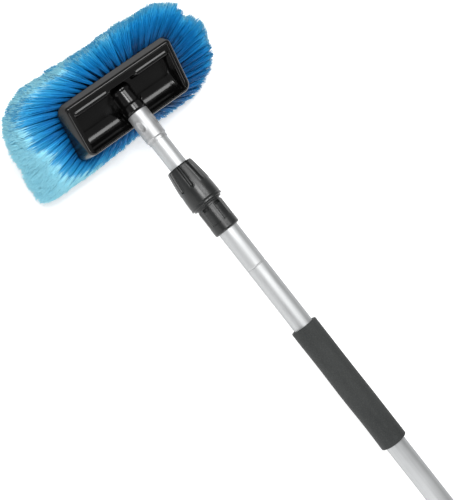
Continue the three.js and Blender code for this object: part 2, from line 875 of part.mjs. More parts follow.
// Twist lock nut: a barrel that swells towards the grip, with a lip, flutes and a cone inside
function makeNut() {
  const bellyEnd = nutEnd - nutSkirtLength - nutLipLength;
  const curveStart = nutStart + nutRound;
  const belly = Array.from({ length: nutCurveSteps }, (_, k) => {
    const share = (k + 1) / nutCurveSteps;
    const swell = Math.sin(Math.PI / 2 * share);
    return [
      THREE.MathUtils.lerp(curveStart, bellyEnd, share),
      THREE.MathUtils.lerp(nutTopRadius, nutBellyRadius, swell),
    ];
  });
  const lipEnd = bellyEnd + nutLipLength;
  const outside = solidOf(turned([
    [nutStart, 0],
    ...arc(curveStart, nutTopRadius - nutRound, nutRound, Math.PI, Math.PI / 2),
    ...belly,
    ...arc(lipEnd - nutLipRound, nutBellyRadius - nutLipRound, nutLipRound, Math.PI / 2, 0),
    [lipEnd, nutSkirtRadius],
    [nutEnd, nutSkirtRadius],
    [nutEnd, 0],
  ], tubeSides));
  const inside = turned([
    [nutStart - overrun, 0],
    [nutStart - overrun, nutHoleRadius],
    [coneStart, nutHoleRadius],
    [coneStart, nutConeStart],
    [coneEnd, nutConeEnd],
    [coneEnd, threadRadius + clearance],
    [nutEnd + overrun, threadRadius + clearance],
    [nutEnd + overrun, 0],
  ]);
  const fluteRun = nutLength * fluteLengthShare;
  const slope = Math.atan2(nutBellyRadius - nutTopRadius, bellyEnd - curveStart);
  const flutes = Array.from({ length: fluteCount }, (_, k) => (
    turned([
      [-overrun, 0],
      [-overrun, fluteRadius],
      ...arc(fluteRun, 0, fluteRadius, Math.PI / 2, 0),
    ], detailSides)
      .rotateY(-slope)
      .translate(nutStart, 0, nutTopRadius + fluteRadius - fluteDepth)
      .rotateX(Math.PI * 2 * (k + 0.5) / fluteCount)
  ));
  return cutAll(outside, [inside, ...flutes]);
}

// Collet: a split cone round the inner tube
function makeCollet() {
  const bore = innerTubeRadius + clearance;
  const startRadius = THREE.MathUtils.lerp(
    nutConeStart,
    nutConeEnd,
    (colletStart - coneStart) / nutConeLength,
  ) - clearance;
  const endRadius = nutConeEnd - clearance;
  const cone = solidOf(turned([
    [colletStart, bore],
    [colletStart, startRadius],
    [coneEnd, endRadius],
    [colletEnd, endRadius],
    [colletEnd, bore],
  ]));
  const slitEnd = THREE.MathUtils.lerp(colletStart, colletEnd, colletSlitShare);
  const slits = Array.from({ length: colletSlits }, (_, k) => (
    block(
      [colletStart - overrun, -colletSlitWidth / 2, 0],
      [slitEnd, colletSlitWidth / 2, nutConeEnd + overrun],
    ).rotateX(Math.PI * 2 * k / colletSlits)
  ));
  return cutAll(cone, slits);
}

// Collar body: its spigot carries the nut, and its socket holds the outer tube
function makeCollarBody() {
  const spigotStart = colletEnd + clearance;
  const bodyStart = collarStart + collarNeckLength;
  const body = solidOf(turned([
    [spigotStart, nutHoleRadius],
    [spigotStart, threadRadius],
    [bodyStart, threadRadius],
    [bodyStart, collarBodyRadius],
    [collarEnd - collarEdge, collarBodyRadius],
    [collarEnd, collarBodyRadius - collarEdge],
    [collarEnd, outerTubeRadius + clearance],
    [outerTubeStart - clearance, outerTubeRadius + clearance],
    [outerTubeStart - clearance, nutHoleRadius],
  ], tubeSides));
  const middle = (bodyStart + collarEnd) / 2;
  const panels = Array.from({ length: panelCount }, (_, k) => (
    block(
      [middle - panelLength / 2, -panelWidth / 2, collarBodyRadius - panelDepth],
      [middle + panelLength / 2, panelWidth / 2, collarBodyRadius + overrun],
    ).rotateX(Math.PI * 2 * k / panelCount)
  ));
  return cutAll(body, panels);
}

// Foam sleeve with rounded ends
function makeGrip() {
  const bore = outerTubeRadius + clearance;
  const end = gripStart + gripLength;
  return solidOf(turned([
    [gripStart, bore],
    ...arc(gripStart + gripRound, gripRadius - gripRound, gripRound, Math.PI, Math.PI / 2),
    ...arc(end - gripRound, gripRadius - gripRound, gripRound, Math.PI / 2, 0),
    [end, bore],
  ], tubeSides));
}

// A rod along Y through one side of the socket, for a screw or its hole
function sideRod(side, low, high, radius) {
  return post(0, low, high, radius)
    .rotateX(-Math.PI / 2 * side)
    .translate(outerTubeEnd - sideScrewPlace, 0, 0);
}

function sideScrewHoles() {
  return [1, -1].map((side) => (
    sideRod(side, outerTubeBore - overrun, socketRadius + overrun, screwRadius + clearance)
  ));
}

// Screw that holds the valve's socket on the outer tube
function makeSideScrew(side) {
  const seat = socketRadius + clearance;
  const low = socketRadius - sideScrewReach - tubeWall;
  const shank = solidOf(sideRod(side, low, seat + sideScrewHeadHeight / 2, screwRadius));
  const head = sideRod(side, seat, seat + sideScrewHeadHeight, sideScrewHeadRadius);
  const top = seat + sideScrewHeadHeight;
  const slot = block(
    [-sideScrewHeadRadius, -screwSlotWidth / 2, top - screwSlotDepth / 2],
    [sideScrewHeadRadius, screwSlotWidth / 2, top + overrun],
  ).rotateX(-Math.PI / 2 * side).translate(outerTubeEnd - sideScrewPlace, 0, 0);
  return cutAll(joinAll(shank, [head]), [slot]);
}

// Valve body: socket for the tube, barrel round the ball, boss for the stem and threaded mouth
function makeValveBody() {
  const socketStart = outerTubeEnd - socketLength;
  const ribs = Array.from({ length: socketRibs }, (_, k) => {
    const x = socketStart + socketRibPitch * k;
    return [
      [x, socketRadius + socketRib],
      [x + socketRibPitch * socketRibTopShare, socketRadius + socketRib],
      [x + socketRibPitch * socketRibSlopeShare, socketRadius],
      [x + socketRibPitch * socketRibFootShare, socketRadius],
    ];
  }).flat().slice(0, -1);
  const body = solidOf(turned([
    [socketStart, outerTubeRadius + clearance],
    ...ribs,
    [outerTubeEnd, socketRadius],
    [barrelStart, valveRadius - valveEdge],
    [barrelStart + valveEdge, valveRadius],
    [barrelEnd - valveEdge, valveRadius],
    [barrelEnd, valveRadius - valveEdge],
    [barrelEnd, valveMouthRadius],
    [mouthEnd, valveMouthRadius],
    [mouthEnd, pocketRadius],
    [pocketStart, pocketRadius],
    [pocketStart, valveBore],
    [shoulderAt, valveBore],
    [shoulderAt, outerTubeRadius + clearance],
  ], valveSides));
  const boss = post(ballAt, seatHeel, bossHeight, bossRadius);
  const pocket = rod(pocketStart, mouthEnd, pocketRadius, valveSides);
  const joined = body.add(cutAll(solidOf(boss), [pocket]));
  return cutAll(joined, [
    post(ballAt, 0, bossHeight + overrun, stemRadius + clearance),
    ...sideScrewHoles(),
  ]);
}

// Seat ring on one side of the ball: side -1 faces the pole and side 1 the hose
function makeSeat(side) {
  return solidOf(turned([
    [ballAt + side * seatDepth, seatBore],
    [ballAt + side * seatDepth, pocketRadius - clearance],
    [ballAt + side * seatHeel, pocketRadius - clearance],
    [ballAt + side * seatLip, seatBore],
  ]));
}

// Ball with its water way along the pole and a slot for the stem
function makeBall() {
  const ball = solidOf(new THREE.SphereGeometry(ballRadius, smallSides, smallSides / 2)
    .rotateZ(Math.PI / 2)
    .translate(ballAt, 0, 0));
  const slotHalf = stemTongueWidth / 2 + clearance;
  const slotFloor = stemFoot - stemTongueDepth - clearance;
  return cutAll(ball, [
    rod(ballAt - ballRadius, ballAt + ballRadius, ballBore, smallSides),
    block(
      [ballAt - ballRadius, -slotHalf, slotFloor],
      [ballAt + ballRadius, slotHalf, ballRadius + overrun],
    ),
  ]);
}

const stemSquareStart = bossHeight + clearance;
const leverTop = stemSquareStart + leverThickness;

// Stem: tongue in the ball, ring groove in the boss, square under the lever
function makeStem() {
  const foot = stemFoot + clearance;
  const grooveRadius = stemRadius - stemRingSection * 2;
  const shaft = solidOf(post(ballAt, foot, stemSquareStart, stemRadius));
  const neck = solidOf(
    tube(
      stemRingPlace - stemRingSection - ringRest,
      stemRingPlace + stemRingSection + ringRest,
      stemRadius + overrun,
      grooveRadius,
      smallSides,
    ).rotateY(-Math.PI / 2).translate(ballAt, 0, 0),
  );
  const tongue = block(
    [ballAt - stemTongueLength / 2, -stemTongueWidth / 2, stemFoot - stemTongueDepth],
    [ballAt + stemTongueLength / 2, stemTongueWidth / 2, foot + clearance],
  );
  const square = block(
    [ballAt - stemSquare / 2, -stemSquare / 2, stemSquareStart - clearance],
    [ballAt + stemSquare / 2, stemSquare / 2, stemSquareStart + stemSquareHeight],
  );
  return cutAll(joinAll(shaft.subtract(neck), [tongue, square]), [
    post(ballAt, leverTop - screwLength, leverTop + overrun, screwRadius + clearance),
  ]);
}

function makeStemRing() {
  const middleRadius = stemRadius - stemRingSection + ringRest / 2;
  return solidOf(
    sealRing(stemRingPlace, middleRadius, stemRingSection - ringRest / 2)
      .rotateY(-Math.PI / 2)
      .translate(ballAt, 0, 0),
  );
}

// Lever: a round hub drawn out to a narrower thumb end with ridges
function makeLever() {
  const outline = new THREE.Shape();
  const lean = Math.asin((leverHubRadius - leverTipRadius) / leverLength);
  outline.absarc(0, 0, leverHubRadius, -Math.PI / 2 - lean, Math.PI / 2 + lean, false);
  outline.absarc(-leverLength, 0, leverTipRadius, Math.PI / 2 + lean, Math.PI * 1.5 - lean, false);
  const hole = stemSquare / 2 + clearance;
  const arm = solidOf(new THREE.ExtrudeGeometry(outline, {
    depth: leverThickness,
    bevelEnabled: false,
    curveSegments: detailSides,
  }).translate(ballAt, 0, stemSquareStart));
  const ridges = Array.from({ length: leverRidges }, (_, k) => {
    const x = ballAt - leverLength + leverRidgePitch * k;
    return block(
      [x - leverRidgeWidth / 2, -leverRidgeLength / 2, leverTop - leverRidgeHeight],
      [x + leverRidgeWidth / 2, leverRidgeLength / 2, leverTop + leverRidgeHeight],
    );
  });
  return cutAll(joinAll(arm, ridges), [
    block(
      [ballAt - hole, -hole, stemSquareStart - overrun],
      [ballAt + hole, hole, leverTop + overrun],
    ),
  ]);
}

// Screw through the lever's hub into the stem
function makeLeverScrew() {
  const seat = leverTop + clearance;
  const top = seat + screwHeadHeight;
  const shank = solidOf(post(ballAt, seat - screwLength + clearance, seat + clearance, screwRadius));
  const head = post(ballAt, seat, top, screwHeadRadius);
  const slots = [0, Math.PI / 2].map((turn) => (
    block(
      [-screwHeadRadius / 2, -screwSlotWidth / 2, top - screwSlotDepth],
      [screwHeadRadius / 2, screwSlotWidth / 2, top + overrun],
    ).rotateZ(turn).translate(ballAt, 0, 0)
  ));
  return cutAll(joinAll(shank, [head]), slots);
}

// Hose nipple: screwed into the valve's mouth, with a hexagon flange and a plug-in tail
const tailStart = nippleFlangeStart + nippleFlangeLength;
const clawStart = tailStart + nippleTailLength;
const clawEnd = clawStart + nippleClawLength;
const sealStart = clawEnd + nippleCollarLength;
const sealEnd = sealStart + nippleSealLength;
const noseEnd = sealEnd + nippleNoseLength;

function makeNipple() {
  const body = solidOf(turned([
    [nippleStart, nippleBore],
    [nippleStart, pocketRadius - clearance],
    [nippleFlangeStart, pocketRadius - clearance],
    [nippleFlangeStart, nippleTailRadius],
    [clawStart, nippleTailRadius],
    [clawStart, nippleClawRadius],
    [clawEnd, nippleClawRadius],
    [clawEnd, nippleTailRadius],
    [sealStart, nippleTailRadius],
    [sealStart, nippleSealRadius],
    [sealEnd, nippleSealRadius],
    [sealEnd, nippleNoseRadius],
    [noseEnd - nippleNoseTaper, nippleNoseRadius],
    [noseEnd, nippleNoseRadius - nippleNoseTaper],
    [noseEnd, nippleBore],
  ]));
  const flange = solidOf(rod(nippleFlangeStart, tailStart, nippleFlangeRadius, nippleFlangeSides));
  const bore = solidOf(rod(nippleStart - overrun, noseEnd, nippleBore));
  return body.add(flange.subtract(bore));
}

// Every piece: how it is made, its finish, and the frame that it is made in
const pieces = {
  brush_block: { make: makeBlock, finish: 'blackPlastic' },
  neck_washer: { make: makeWasher, finish: 'rubber' },
  threaded_spigot: { make: makeSpigot, finish: 'greyPlastic' },
  tip_ferrule: { make: makeFerrule, finish: 'ferrule' },
  inner_tube: {
    make: () => solidOf(
      tube(innerTubeStart, innerTubeEnd, innerTubeRadius, innerTubeBore, tubeSides),
    ),
    finish: 'aluminium',
  },
  guide_bush: { make: makeGuideBush, finish: 'whitePlastic' },
  guide_ring_front: {
    make: () => solidOf(sealRing(bushRingPlaces[0], bushRingRadius, ringSection)),
    finish: 'rubber',
  },
  guide_ring_rear: {
    make: () => solidOf(sealRing(bushRingPlaces[1], bushRingRadius, ringSection)),
    finish: 'rubber',
  },
  collet: { make: makeCollet, finish: 'whitePlastic' },
  collar_nut: { make: makeNut, finish: 'greyPlastic' },
  collar_body: { make: makeCollarBody, finish: 'greyPlastic' },
  outer_tube: { make: makeOuterTube, finish: 'aluminium' },
  foam_grip: { make: makeGrip, finish: 'foam' },
  tube_gasket: {
    make: () => solidOf(tube(gasketStart, gasketStart + gasketThickness, outerTubeRadius, gasketBore)),
    finish: 'rubber',
  },
  valve_body: { make: makeValveBody, finish: 'greyPlastic' },
  socket_screw_right: { make: () => makeSideScrew(1), finish: 'steel' },
  socket_screw_left: { make: () => makeSideScrew(-1), finish: 'steel' },
  valve_seat_front: { make: () => makeSeat(-1), finish: 'whitePlastic' },
  valve_seat_rear: { make: () => makeSeat(1), finish: 'whitePlastic' },
  valve_ball: { make: makeBall, finish: 'steel' },
  valve_stem: { make: makeStem, finish: 'brass' },
  stem_ring: { make: makeStemRing, finish: 'rubber' },
  valve_lever: { make: makeLever, finish: 'blackPlastic' },
  lever_screw: { make: makeLeverScrew, finish: 'steel' },
  nipple_gasket: {
    make: () => solidOf(tube(
      mouthEnd + clearance,
      mouthEnd + clearance + nippleGasketThickness,
      valveMouthRadius - clearance,
      pocketRadius,
    )),
    finish: 'rubber',
  },
  hose_nipple: { make: makeNipple, finish: 'greyPlastic' },
  nipple_ring: {
    make: () => solidOf(sealRing(
      (sealStart + sealEnd) / 2,
      nippleSealRadius + ringRest + nippleRingSection,
      nippleRingSection,
    )),
    finish: 'rubber',
  },
};

function meshOf(name, solid, finish) {
  const mesh = new THREE.Mesh(geometryOf(solid), new THREE.MeshStandardMaterial(finishes[finish]));
  mesh.name = name;
  return mesh;
}

// The brush laid down, with the middle of its footprint at the origin
const pole = new THREE.Group();
Object.entries(pieces).forEach(([name, { make, finish }]) => {
  pole.add(meshOf(name, make(), finish));
});
const faceGroup = new THREE.Group();
faceGroup.applyMatrix4(headMatrix);
Object.keys(plateSectors).forEach((name) => {
  faceGroup.add(meshOf(name, makeBristles(name), 'bristle'));
});
pole.add(faceGroup);
pole.rotation.y = layTilt;

const brush = new THREE.Group();
brush.add(pole);
brush.updateMatrixWorld(true);
const footprint = new THREE.Box3().setFromObject(brush, true);
const middle = footprint.getCenter(new THREE.Vector3());
brush.position.set(-middle.x, -middle.y, -footprint.min.z);

export default brush;
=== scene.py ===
"""Looks of a telescopic car wash brush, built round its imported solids.

The world is in metres. Shapes are drawn in millimetres in the pole frame, which has +X along the
pole from the head to the hose end and +Z out of the head's back. Its origin is the ferrule's head
end. The rim frame and the face frame of the head are turned in it.
"""

import json
from dataclasses import dataclass
from math import asin, atan, atan2, ceil, copysign, cos, exp, hypot, pi, radians, sin, tan, tau

import bmesh
import bpy
import numpy as np
from mathutils import Matrix, Vector

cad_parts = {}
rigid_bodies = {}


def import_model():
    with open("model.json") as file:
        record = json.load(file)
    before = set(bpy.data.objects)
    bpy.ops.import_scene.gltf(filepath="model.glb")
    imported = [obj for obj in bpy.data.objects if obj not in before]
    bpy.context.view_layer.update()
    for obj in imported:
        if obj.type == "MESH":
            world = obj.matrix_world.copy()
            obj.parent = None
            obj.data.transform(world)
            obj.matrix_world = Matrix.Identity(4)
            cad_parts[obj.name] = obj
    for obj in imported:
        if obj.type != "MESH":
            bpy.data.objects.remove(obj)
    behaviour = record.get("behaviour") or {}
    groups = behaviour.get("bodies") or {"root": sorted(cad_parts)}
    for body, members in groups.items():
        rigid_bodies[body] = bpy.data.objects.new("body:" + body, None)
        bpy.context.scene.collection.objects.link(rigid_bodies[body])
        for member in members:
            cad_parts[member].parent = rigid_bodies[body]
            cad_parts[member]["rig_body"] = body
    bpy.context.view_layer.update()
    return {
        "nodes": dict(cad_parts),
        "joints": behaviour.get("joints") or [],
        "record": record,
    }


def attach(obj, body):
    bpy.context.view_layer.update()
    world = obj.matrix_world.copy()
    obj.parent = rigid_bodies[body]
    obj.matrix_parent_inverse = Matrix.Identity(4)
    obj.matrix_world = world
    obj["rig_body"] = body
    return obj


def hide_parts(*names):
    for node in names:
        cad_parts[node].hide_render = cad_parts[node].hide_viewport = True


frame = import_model()
nodes = frame["nodes"]
draw = np.random.default_rng(7)

# The pole frame, from the joints' axes
MM = 0.001
COLLET_PLACE = 92.15
joints = {joint["name"]: joint for joint in frame["joints"]}
pole_x = Vector(joints["collet_turn"]["axis"]).normalized()
pole_z = Vector(joints["valve_turn"]["axis"]).normalized()
pole_y = pole_z.cross(pole_x)
pole_origin = Vector(joints["collet_turn"]["pos_m"]) - pole_x * COLLET_PLACE * MM
turned_pole = Matrix((pole_x, pole_y, pole_z)).transposed().to_4x4()
turned_pole.translation = pole_origin
POLE = turned_pole @ Matrix.Scale(MM, 4)
to_pole = POLE.inverted()

# The head's frames, as in the solids
NECK_ANGLE = radians(34.5)
RIM_LENGTH, RIM_WIDTH = 147.2, 66
RIM_REACH, RIM_RISE = 41.8, 33.5
FOOT_HEAD_DEPTH, FOOT_GRIP_DEPTH = 15, 28
FOOT_HEAD_OVERHANG, FOOT_GRIP_OVERHANG, FOOT_END_OVERHANG = 2, 12, 3
FOOT_LEDGE = 1.5
OVERRUN = 2

RIM = Matrix.Translation((-RIM_REACH, 0, RIM_RISE)) @ Matrix.Rotation(NECK_ANGLE, 4, "Y")
to_rim = RIM.inverted()
foot_span = RIM_WIDTH + FOOT_HEAD_OVERHANG + FOOT_GRIP_OVERHANG
foot_drop = FOOT_GRIP_DEPTH - FOOT_HEAD_DEPTH
foot_tilt = atan2(foot_drop, foot_span)
foot_middle = (foot_span / 2 - FOOT_HEAD_OVERHANG, 0, -(FOOT_HEAD_DEPTH + FOOT_GRIP_DEPTH) / 2)
FACE = Matrix.Translation(foot_middle) @ Matrix.Rotation(foot_tilt, 4, "Y")
foot_half_width = hypot(foot_span, foot_drop) / 2
foot_half_length = RIM_LENGTH / 2 + FOOT_END_OVERHANG
FACE_HALF_WIDTH = foot_half_width - FOOT_LEDGE
FACE_HALF_LENGTH = foot_half_length - FOOT_LEDGE


def span(name):
    """A node's start and end along the pole, and its least and greatest radius, in millimetres."""
    corners = np.array([to_pole @ vertex.co for vertex in nodes[name].data.vertices])
    radius = np.hypot(corners[:, 1], corners[:, 2])
    return corners[:, 0].min(), corners[:, 0].max(), radius.min(), radius.max()


# Materials

# Where most of a noise's values lie
NOISE_LOW, NOISE_HIGH = 0.3, 0.7
# The smoothest and the roughest patches of a finish, as shares of its roughness
SMOOTH_SHARE, ROUGH_SHARE = 0.85, 1.2
# How far a bristle's own tone moves its colour along the ramp
TONE_SHARE = 0.26
# Every finish by its name
looks = {}


class Nodes:
    """Short calls for a material's node tree."""

    def __init__(self, name, **settings):
        self.material = bpy.data.materials.new(name)
        self.material.use_nodes = True
        looks[name] = self.material
        self.tree = self.material.node_tree
        self.shader = self.tree.nodes["Principled BSDF"]
        for socket, value in settings.items():
            self.shader.inputs[socket.replace("_", " ")].default_value = value

    def node(self, kind, inputs=None, **properties):
        made = self.tree.nodes.new(kind)
        for key, value in properties.items():
            setattr(made, key, value)
        for key, value in (inputs or {}).items():
            if isinstance(value, bpy.types.NodeSocket):
                self.tree.links.new(value, made.inputs[key])
            else:
                made.inputs[key].default_value = value
        return made

    def math(self, operation, *values):
        made = self.node("ShaderNodeMath", dict(enumerate(values)), operation=operation)
        return made.outputs[0]

    def link(self, output, socket):
        self.tree.links.new(output, self.shader.inputs[socket])

    def place(self):
        return self.node("ShaderNodeTexCoord").outputs["Object"]

    def along_pole(self, scale=(1, 1, 1)):
        """Object coordinates turned into the pole frame and scaled, for grain along the pole."""
        turn = turned_pole.inverted()
        settings = {"Vector": self.place(), "Location": turn.translation, "Rotation": turn.to_euler()}
        mapping = self.node("ShaderNodeMapping", settings)
        inputs = {0: mapping.outputs["Vector"], 1: scale}
        return self.node("ShaderNodeVectorMath", inputs, operation="MULTIPLY").outputs["Vector"]

    def noise(self, vector, scale, detail=4.0, roughness=0.55):
        inputs = {"Vector": vector, "Scale": scale, "Detail": detail, "Roughness": roughness}
        return self.node("ShaderNodeTexNoise", inputs).outputs["Fac"]

    def ramp(self, factor, stops):
        ramp = self.node("ShaderNodeValToRGB", {"Fac": factor})
        elements = ramp.color_ramp.elements
        while len(elements) < len(stops):
            elements.new(0.5)
        for element, (position, colour) in zip(elements, stops):
            element.position = position
            element.color = (*colour, 1)
        return ramp.outputs["Color"]

    def spread(self, factor, low, high):
        noise = {"From Min": NOISE_LOW, "From Max": NOISE_HIGH}
        inputs = {"Value": factor, **noise, "To Min": low, "To Max": high}
        return self.node("ShaderNodeMapRange", inputs).outputs["Result"]

    def bump(self, height, distance, strength=0.5):
        inputs = {"Height": height, "Distance": distance, "Strength": strength}
        return self.node("ShaderNodeBump", inputs).outputs["Normal"]

    def finish(self, tone, colours, gloss, rough, height, depth, strength=0.5):
        """Gives a colour by tone, a roughness by gloss and a fine relief by height."""
        stops = list(zip((NOISE_LOW, NOISE_HIGH), colours))
        self.link(self.ramp(tone, stops), "Base Color")
        self.link(self.spread(gloss, *rough), "Roughness")
        self.link(self.bump(height, depth, strength), "Normal")


def moulded(name, dark, light, rough, grain=900.0, depth=0.00006, **settings):
    """Moulded plastic: faint mottling, uneven gloss and a fine grain."""
    made = Nodes(name, **settings)
    broad = made.noise(made.place(), 35.0)
    fine = made.noise(made.place(), grain, 2.0)
    roughs = (rough * SMOOTH_SHARE, rough * ROUGH_SHARE)
    made.finish(broad, (dark, light), broad, roughs, fine, depth)


def drawn_metal(name, dark, light, rough, edge, lines=520.0, streak=0.55):
    """Drawn tube: fine lines along the pole, faint smudges, uneven gloss and darker grazing light."""
    made = Nodes(name, Metallic=0.85, Specular_Tint=(edge, edge, edge * 1.03, 1))
    streaks = made.noise(made.along_pole((0.02, 1.0, 1.0)), lines, 3.0)
    smudges = made.noise(made.along_pole((0.35, 1.0, 1.0)), 45.0)
    rest = made.math("MULTIPLY", smudges, 1 - streak)
    both = made.math("MULTIPLY_ADD", streaks, streak, rest)
    roughs = (rough * SMOOTH_SHARE, rough * ROUGH_SHARE)
    made.finish(both, (dark, light), smudges, roughs, streaks, 0.00002, 0.4)


def soft_rubber(name, dark, light):
    """Rubber: dull, with a fine even grain."""
    made = Nodes(name, Roughness=0.8)
    grain = made.noise(made.place(), 1400.0, 3.0)
    made.finish(grain, (dark, light), grain, (0.7, 0.9), grain, 0.00008)


def foam_material():
    """Closed-cell foam: small open pores, with a faint long unevenness."""
    made = Nodes("foam", Roughness=0.8, Sheen_Weight=0.08, Sheen_Roughness=0.4)
    inputs = {"Vector": made.along_pole(), "Scale": 900.0}
    pores = made.node("ShaderNodeTexVoronoi", inputs, feature="F1").outputs["Distance"]
    broad = made.noise(made.along_pole((0.2, 1.0, 1.0)), 60.0)
    fine = made.noise(made.along_pole(), 1800.0, 3.0)
    mixed = made.math("MULTIPLY", pores, fine)
    tone = made.math("ADD", mixed, broad)
    dark, light = (0.015, 0.017, 0.017), (0.038, 0.041, 0.040)
    made.link(made.ramp(tone, [(0.42, dark), (0.95, light)]), "Base Color")
    made.link(made.bump(mixed, 0.00035, 0.7), "Normal")


def bristle_material():
    """Bristle: navy at the root, which is painted shade among the tufts, deep blue along it and pale
    at the flagged tip.
    The first UV number is how far the colour has run from root to tip, which also carries painted
    light and shade by side, and the second is the bristle's own tone."""
    made = Nodes("bristle", Roughness=0.55, Specular_IOR_Level=0.2)
    uv = made.node("ShaderNodeUVMap", uv_map="strand").outputs["UV"]
    parts = made.node("ShaderNodeSeparateXYZ", {"Vector": uv})
    along, tone = parts.outputs["X"], parts.outputs["Y"]
    # The navy root stop is painted shade among the tufts; the palest stop is the flagged tip's own
    # colour.
    stops = [
        (0.08, (0.000, 0.022, 0.080)),
        (0.28, (0.000, 0.130, 0.380)),
        (0.56, (0.002, 0.235, 0.600)),
        (0.78, (0.030, 0.400, 0.760)),
        (0.92, (0.100, 0.530, 0.880)),
        (1.00, (0.390, 0.850, 1.000)),
    ]
    made.link(made.ramp(made.math("MULTIPLY_ADD", tone, TONE_SHARE, along), stops), "Base Color")
    made.link(made.spread(tone, 0.45, 0.65), "Roughness")


moulded("black_plastic", (0.002, 0.002, 0.002), (0.004, 0.004, 0.004), 0.15, depth=0.00002, IOR=1.37)
moulded("grey_plastic", (0.005, 0.006, 0.006), (0.011, 0.012, 0.012), 0.32)
moulded("white_plastic", (0.62, 0.62, 0.59), (0.72, 0.72, 0.69), 0.45)
drawn_metal("tube_metal", (0.49, 0.50, 0.505), (0.58, 0.59, 0.595), 0.5, 0.3)
ferrule_tones = (0.40, 0.405, 0.41), (0.52, 0.525, 0.53)
drawn_metal("ferrule_metal", *ferrule_tones, 0.48, 0.35, lines=240.0, streak=0.4)
soft_rubber("rubber", (0.010, 0.010, 0.010), (0.024, 0.024, 0.024))
foam_material()
drawn_metal("steel", (0.50, 0.51, 0.52), (0.66, 0.67, 0.68), 0.3, 0.6)
drawn_metal("brass", (0.58, 0.42, 0.16), (0.74, 0.56, 0.26), 0.3, 0.6)
bristle_material()

slot_of = {part["node"]: part["material_slot"] for part in frame["record"]["subparts"]}
for name, node in nodes.items():
    node.data.materials.clear()
    node.data.materials.append(looks[slot_of[name]])


# Making meshes

SMOOTH_ANGLE = radians(38)
CORNER_STEPS = 12


def placed(name, data):
    """A new object in the scene."""
    made = bpy.data.objects.new(name, data)
    bpy.context.scene.collection.objects.link(made)
    return made


def mesh_object(name, vertices, faces, matrix=None, smooth=True):
    mesh = bpy.data.meshes.new(name)
    mesh.from_pydata([tuple(v) for v in vertices], [], faces)
    if matrix is not None:
        mesh.transform(matrix)
    if smooth:
        mesh.polygons.foreach_set("use_smooth", [True] * len(mesh.polygons))
        mesh.set_sharp_from_angle(angle=SMOOTH_ANGLE)
    return placed(name, mesh)


def dress(piece, node):
    """Puts a piece in a CAD node's place: its body, its finish and its slot."""
    piece.data.materials.clear()
    piece.data.materials.append(looks[slot_of[node]])
    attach(piece, nodes[node]["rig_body"])
    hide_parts(node)
    return piece


def strip(rows, count, closed):
    """Quads between rings of count vertices each. A closed strip joins its last ring to its first."""
    faces = []
    for k in range(rows if closed else rows - 1):
        low, high = k * count, (k + 1) % rows * count
        for i in range(count):
            after = (i + 1) % count
            faces.append((low + i, low + after, high + after, high + i))
    return faces


def face_out(piece):
    form = bmesh.new()
    form.from_mesh(piece.data)
    bmesh.ops.recalc_face_normals(form, faces=form.faces)
    form.to_mesh(piece.data)
    form.free()
    return piece


def loft(rings, matrix=None):
    """A closed solid through rings of as many points each."""
    count = len(rings[0])
    last = (len(rings) - 1) * count
    faces = strip(len(rings), count, False)
    faces.append(tuple(reversed(range(count))))
    faces.append(tuple(range(last, last + count)))
    points = [p for ring in rings for p in ring]
    return face_out(mesh_object("loft", points, faces, matrix, smooth=False))


def box(low, high, matrix=None):
    (a, b, c), (d, e, f) = low, high
    rings = [[(a, b, z), (d, b, z), (d, e, z), (a, e, z)] for z in (c, f)]
    return loft(rings, matrix)


def arc(x, y, radius, start, sweep, steps):
    """Points on an arc, from an angle on through a sweep."""
    turns = [start + sweep * k / steps for k in range(steps + 1)]
    return [(x + radius * cos(turn), y + radius * sin(turn)) for turn in turns]


def circle(x, y, radius, sides):
    return arc(x, y, radius, 0, tau, sides)[:-1]


def hoop(x, radius, sides):
    """A ring of points round the X axis."""
    return [(x, y, z) for y, z in circle(0, 0, radius, sides)]


def rod(start, end, radius, sides=64, matrix=None):
    """A rod along X."""
    return loft([hoop(start, radius, sides), hoop(end, radius, sides)], matrix)


def lands(x, *steps):
    """A stepped profile from x on. Each step is a radius and the x at which it ends."""
    points = []
    for radius, end in steps:
        points += [(x, radius), (end, radius)]
        x = end
    return points


def rounded_ring(low, high, corners, height):
    """A rounded rectangle, whose corner radius differs at its low and its high end in X."""
    near, far = corners
    quarters = [
        (high[0] - far, high[1] - far, far),
        (low[0] + near, high[1] - near, near),
        (low[0] + near, low[1] + near, near),
        (high[0] - far, low[1] + far, far),
    ]
    points = []
    for quarter, (x, y, radius) in enumerate(quarters):
        points += arc(x, y, radius, pi / 2 * quarter, pi / 2, CORNER_STEPS)
    return [(x, y, height) for x, y in points]


def settle(piece):
    bpy.context.view_layer.update()
    evaluated = piece.evaluated_get(bpy.context.evaluated_depsgraph_get())
    mesh = bpy.data.meshes.new_from_object(evaluated)
    piece.modifiers.clear()
    piece.data = mesh
    return piece


def carve(piece, operation, tools):
    for tool in tools:
        made = piece.modifiers.new("carve", "BOOLEAN")
        made.operation = operation
        made.solver = "MANIFOLD"
        made.object = tool
    settle(piece)
    for tool in tools:
        bpy.data.objects.remove(tool)
    return piece


def fused(piece, *tools):
    """A solid joined with others, which are used up."""
    return carve(piece, "UNION", tools)


def less(piece, *tools):
    """A solid with others cut out of it, which are used up."""
    return carve(piece, "DIFFERENCE", tools)


def soften(piece, name, voxel, passes, matrix):
    """Remeshes a solid so that its edges get the small rounds of a moulding, and places it."""
    remesh = piece.modifiers.new("remesh", "REMESH")
    remesh.mode = "VOXEL"
    remesh.voxel_size = voxel
    remesh.use_smooth_shade = True
    smooth = piece.modifiers.new("smooth", "SMOOTH")
    smooth.factor = 0.5
    smooth.iterations = passes
    settle(piece)
    piece.data.transform(matrix)
    piece.name = name
    piece.data.name = name
    return piece


# A round takes at most this share of a side. Flatter corners and smaller rounds are left out.
ROUND_SHARE = 0.4
LEAST_TURN, LEAST_ROUND = 0.15, 0.02
# A side this many rounds long gets a point this many rounds from its corner
HELD_SIDE, HOLDING_POINT = 5, 1.8


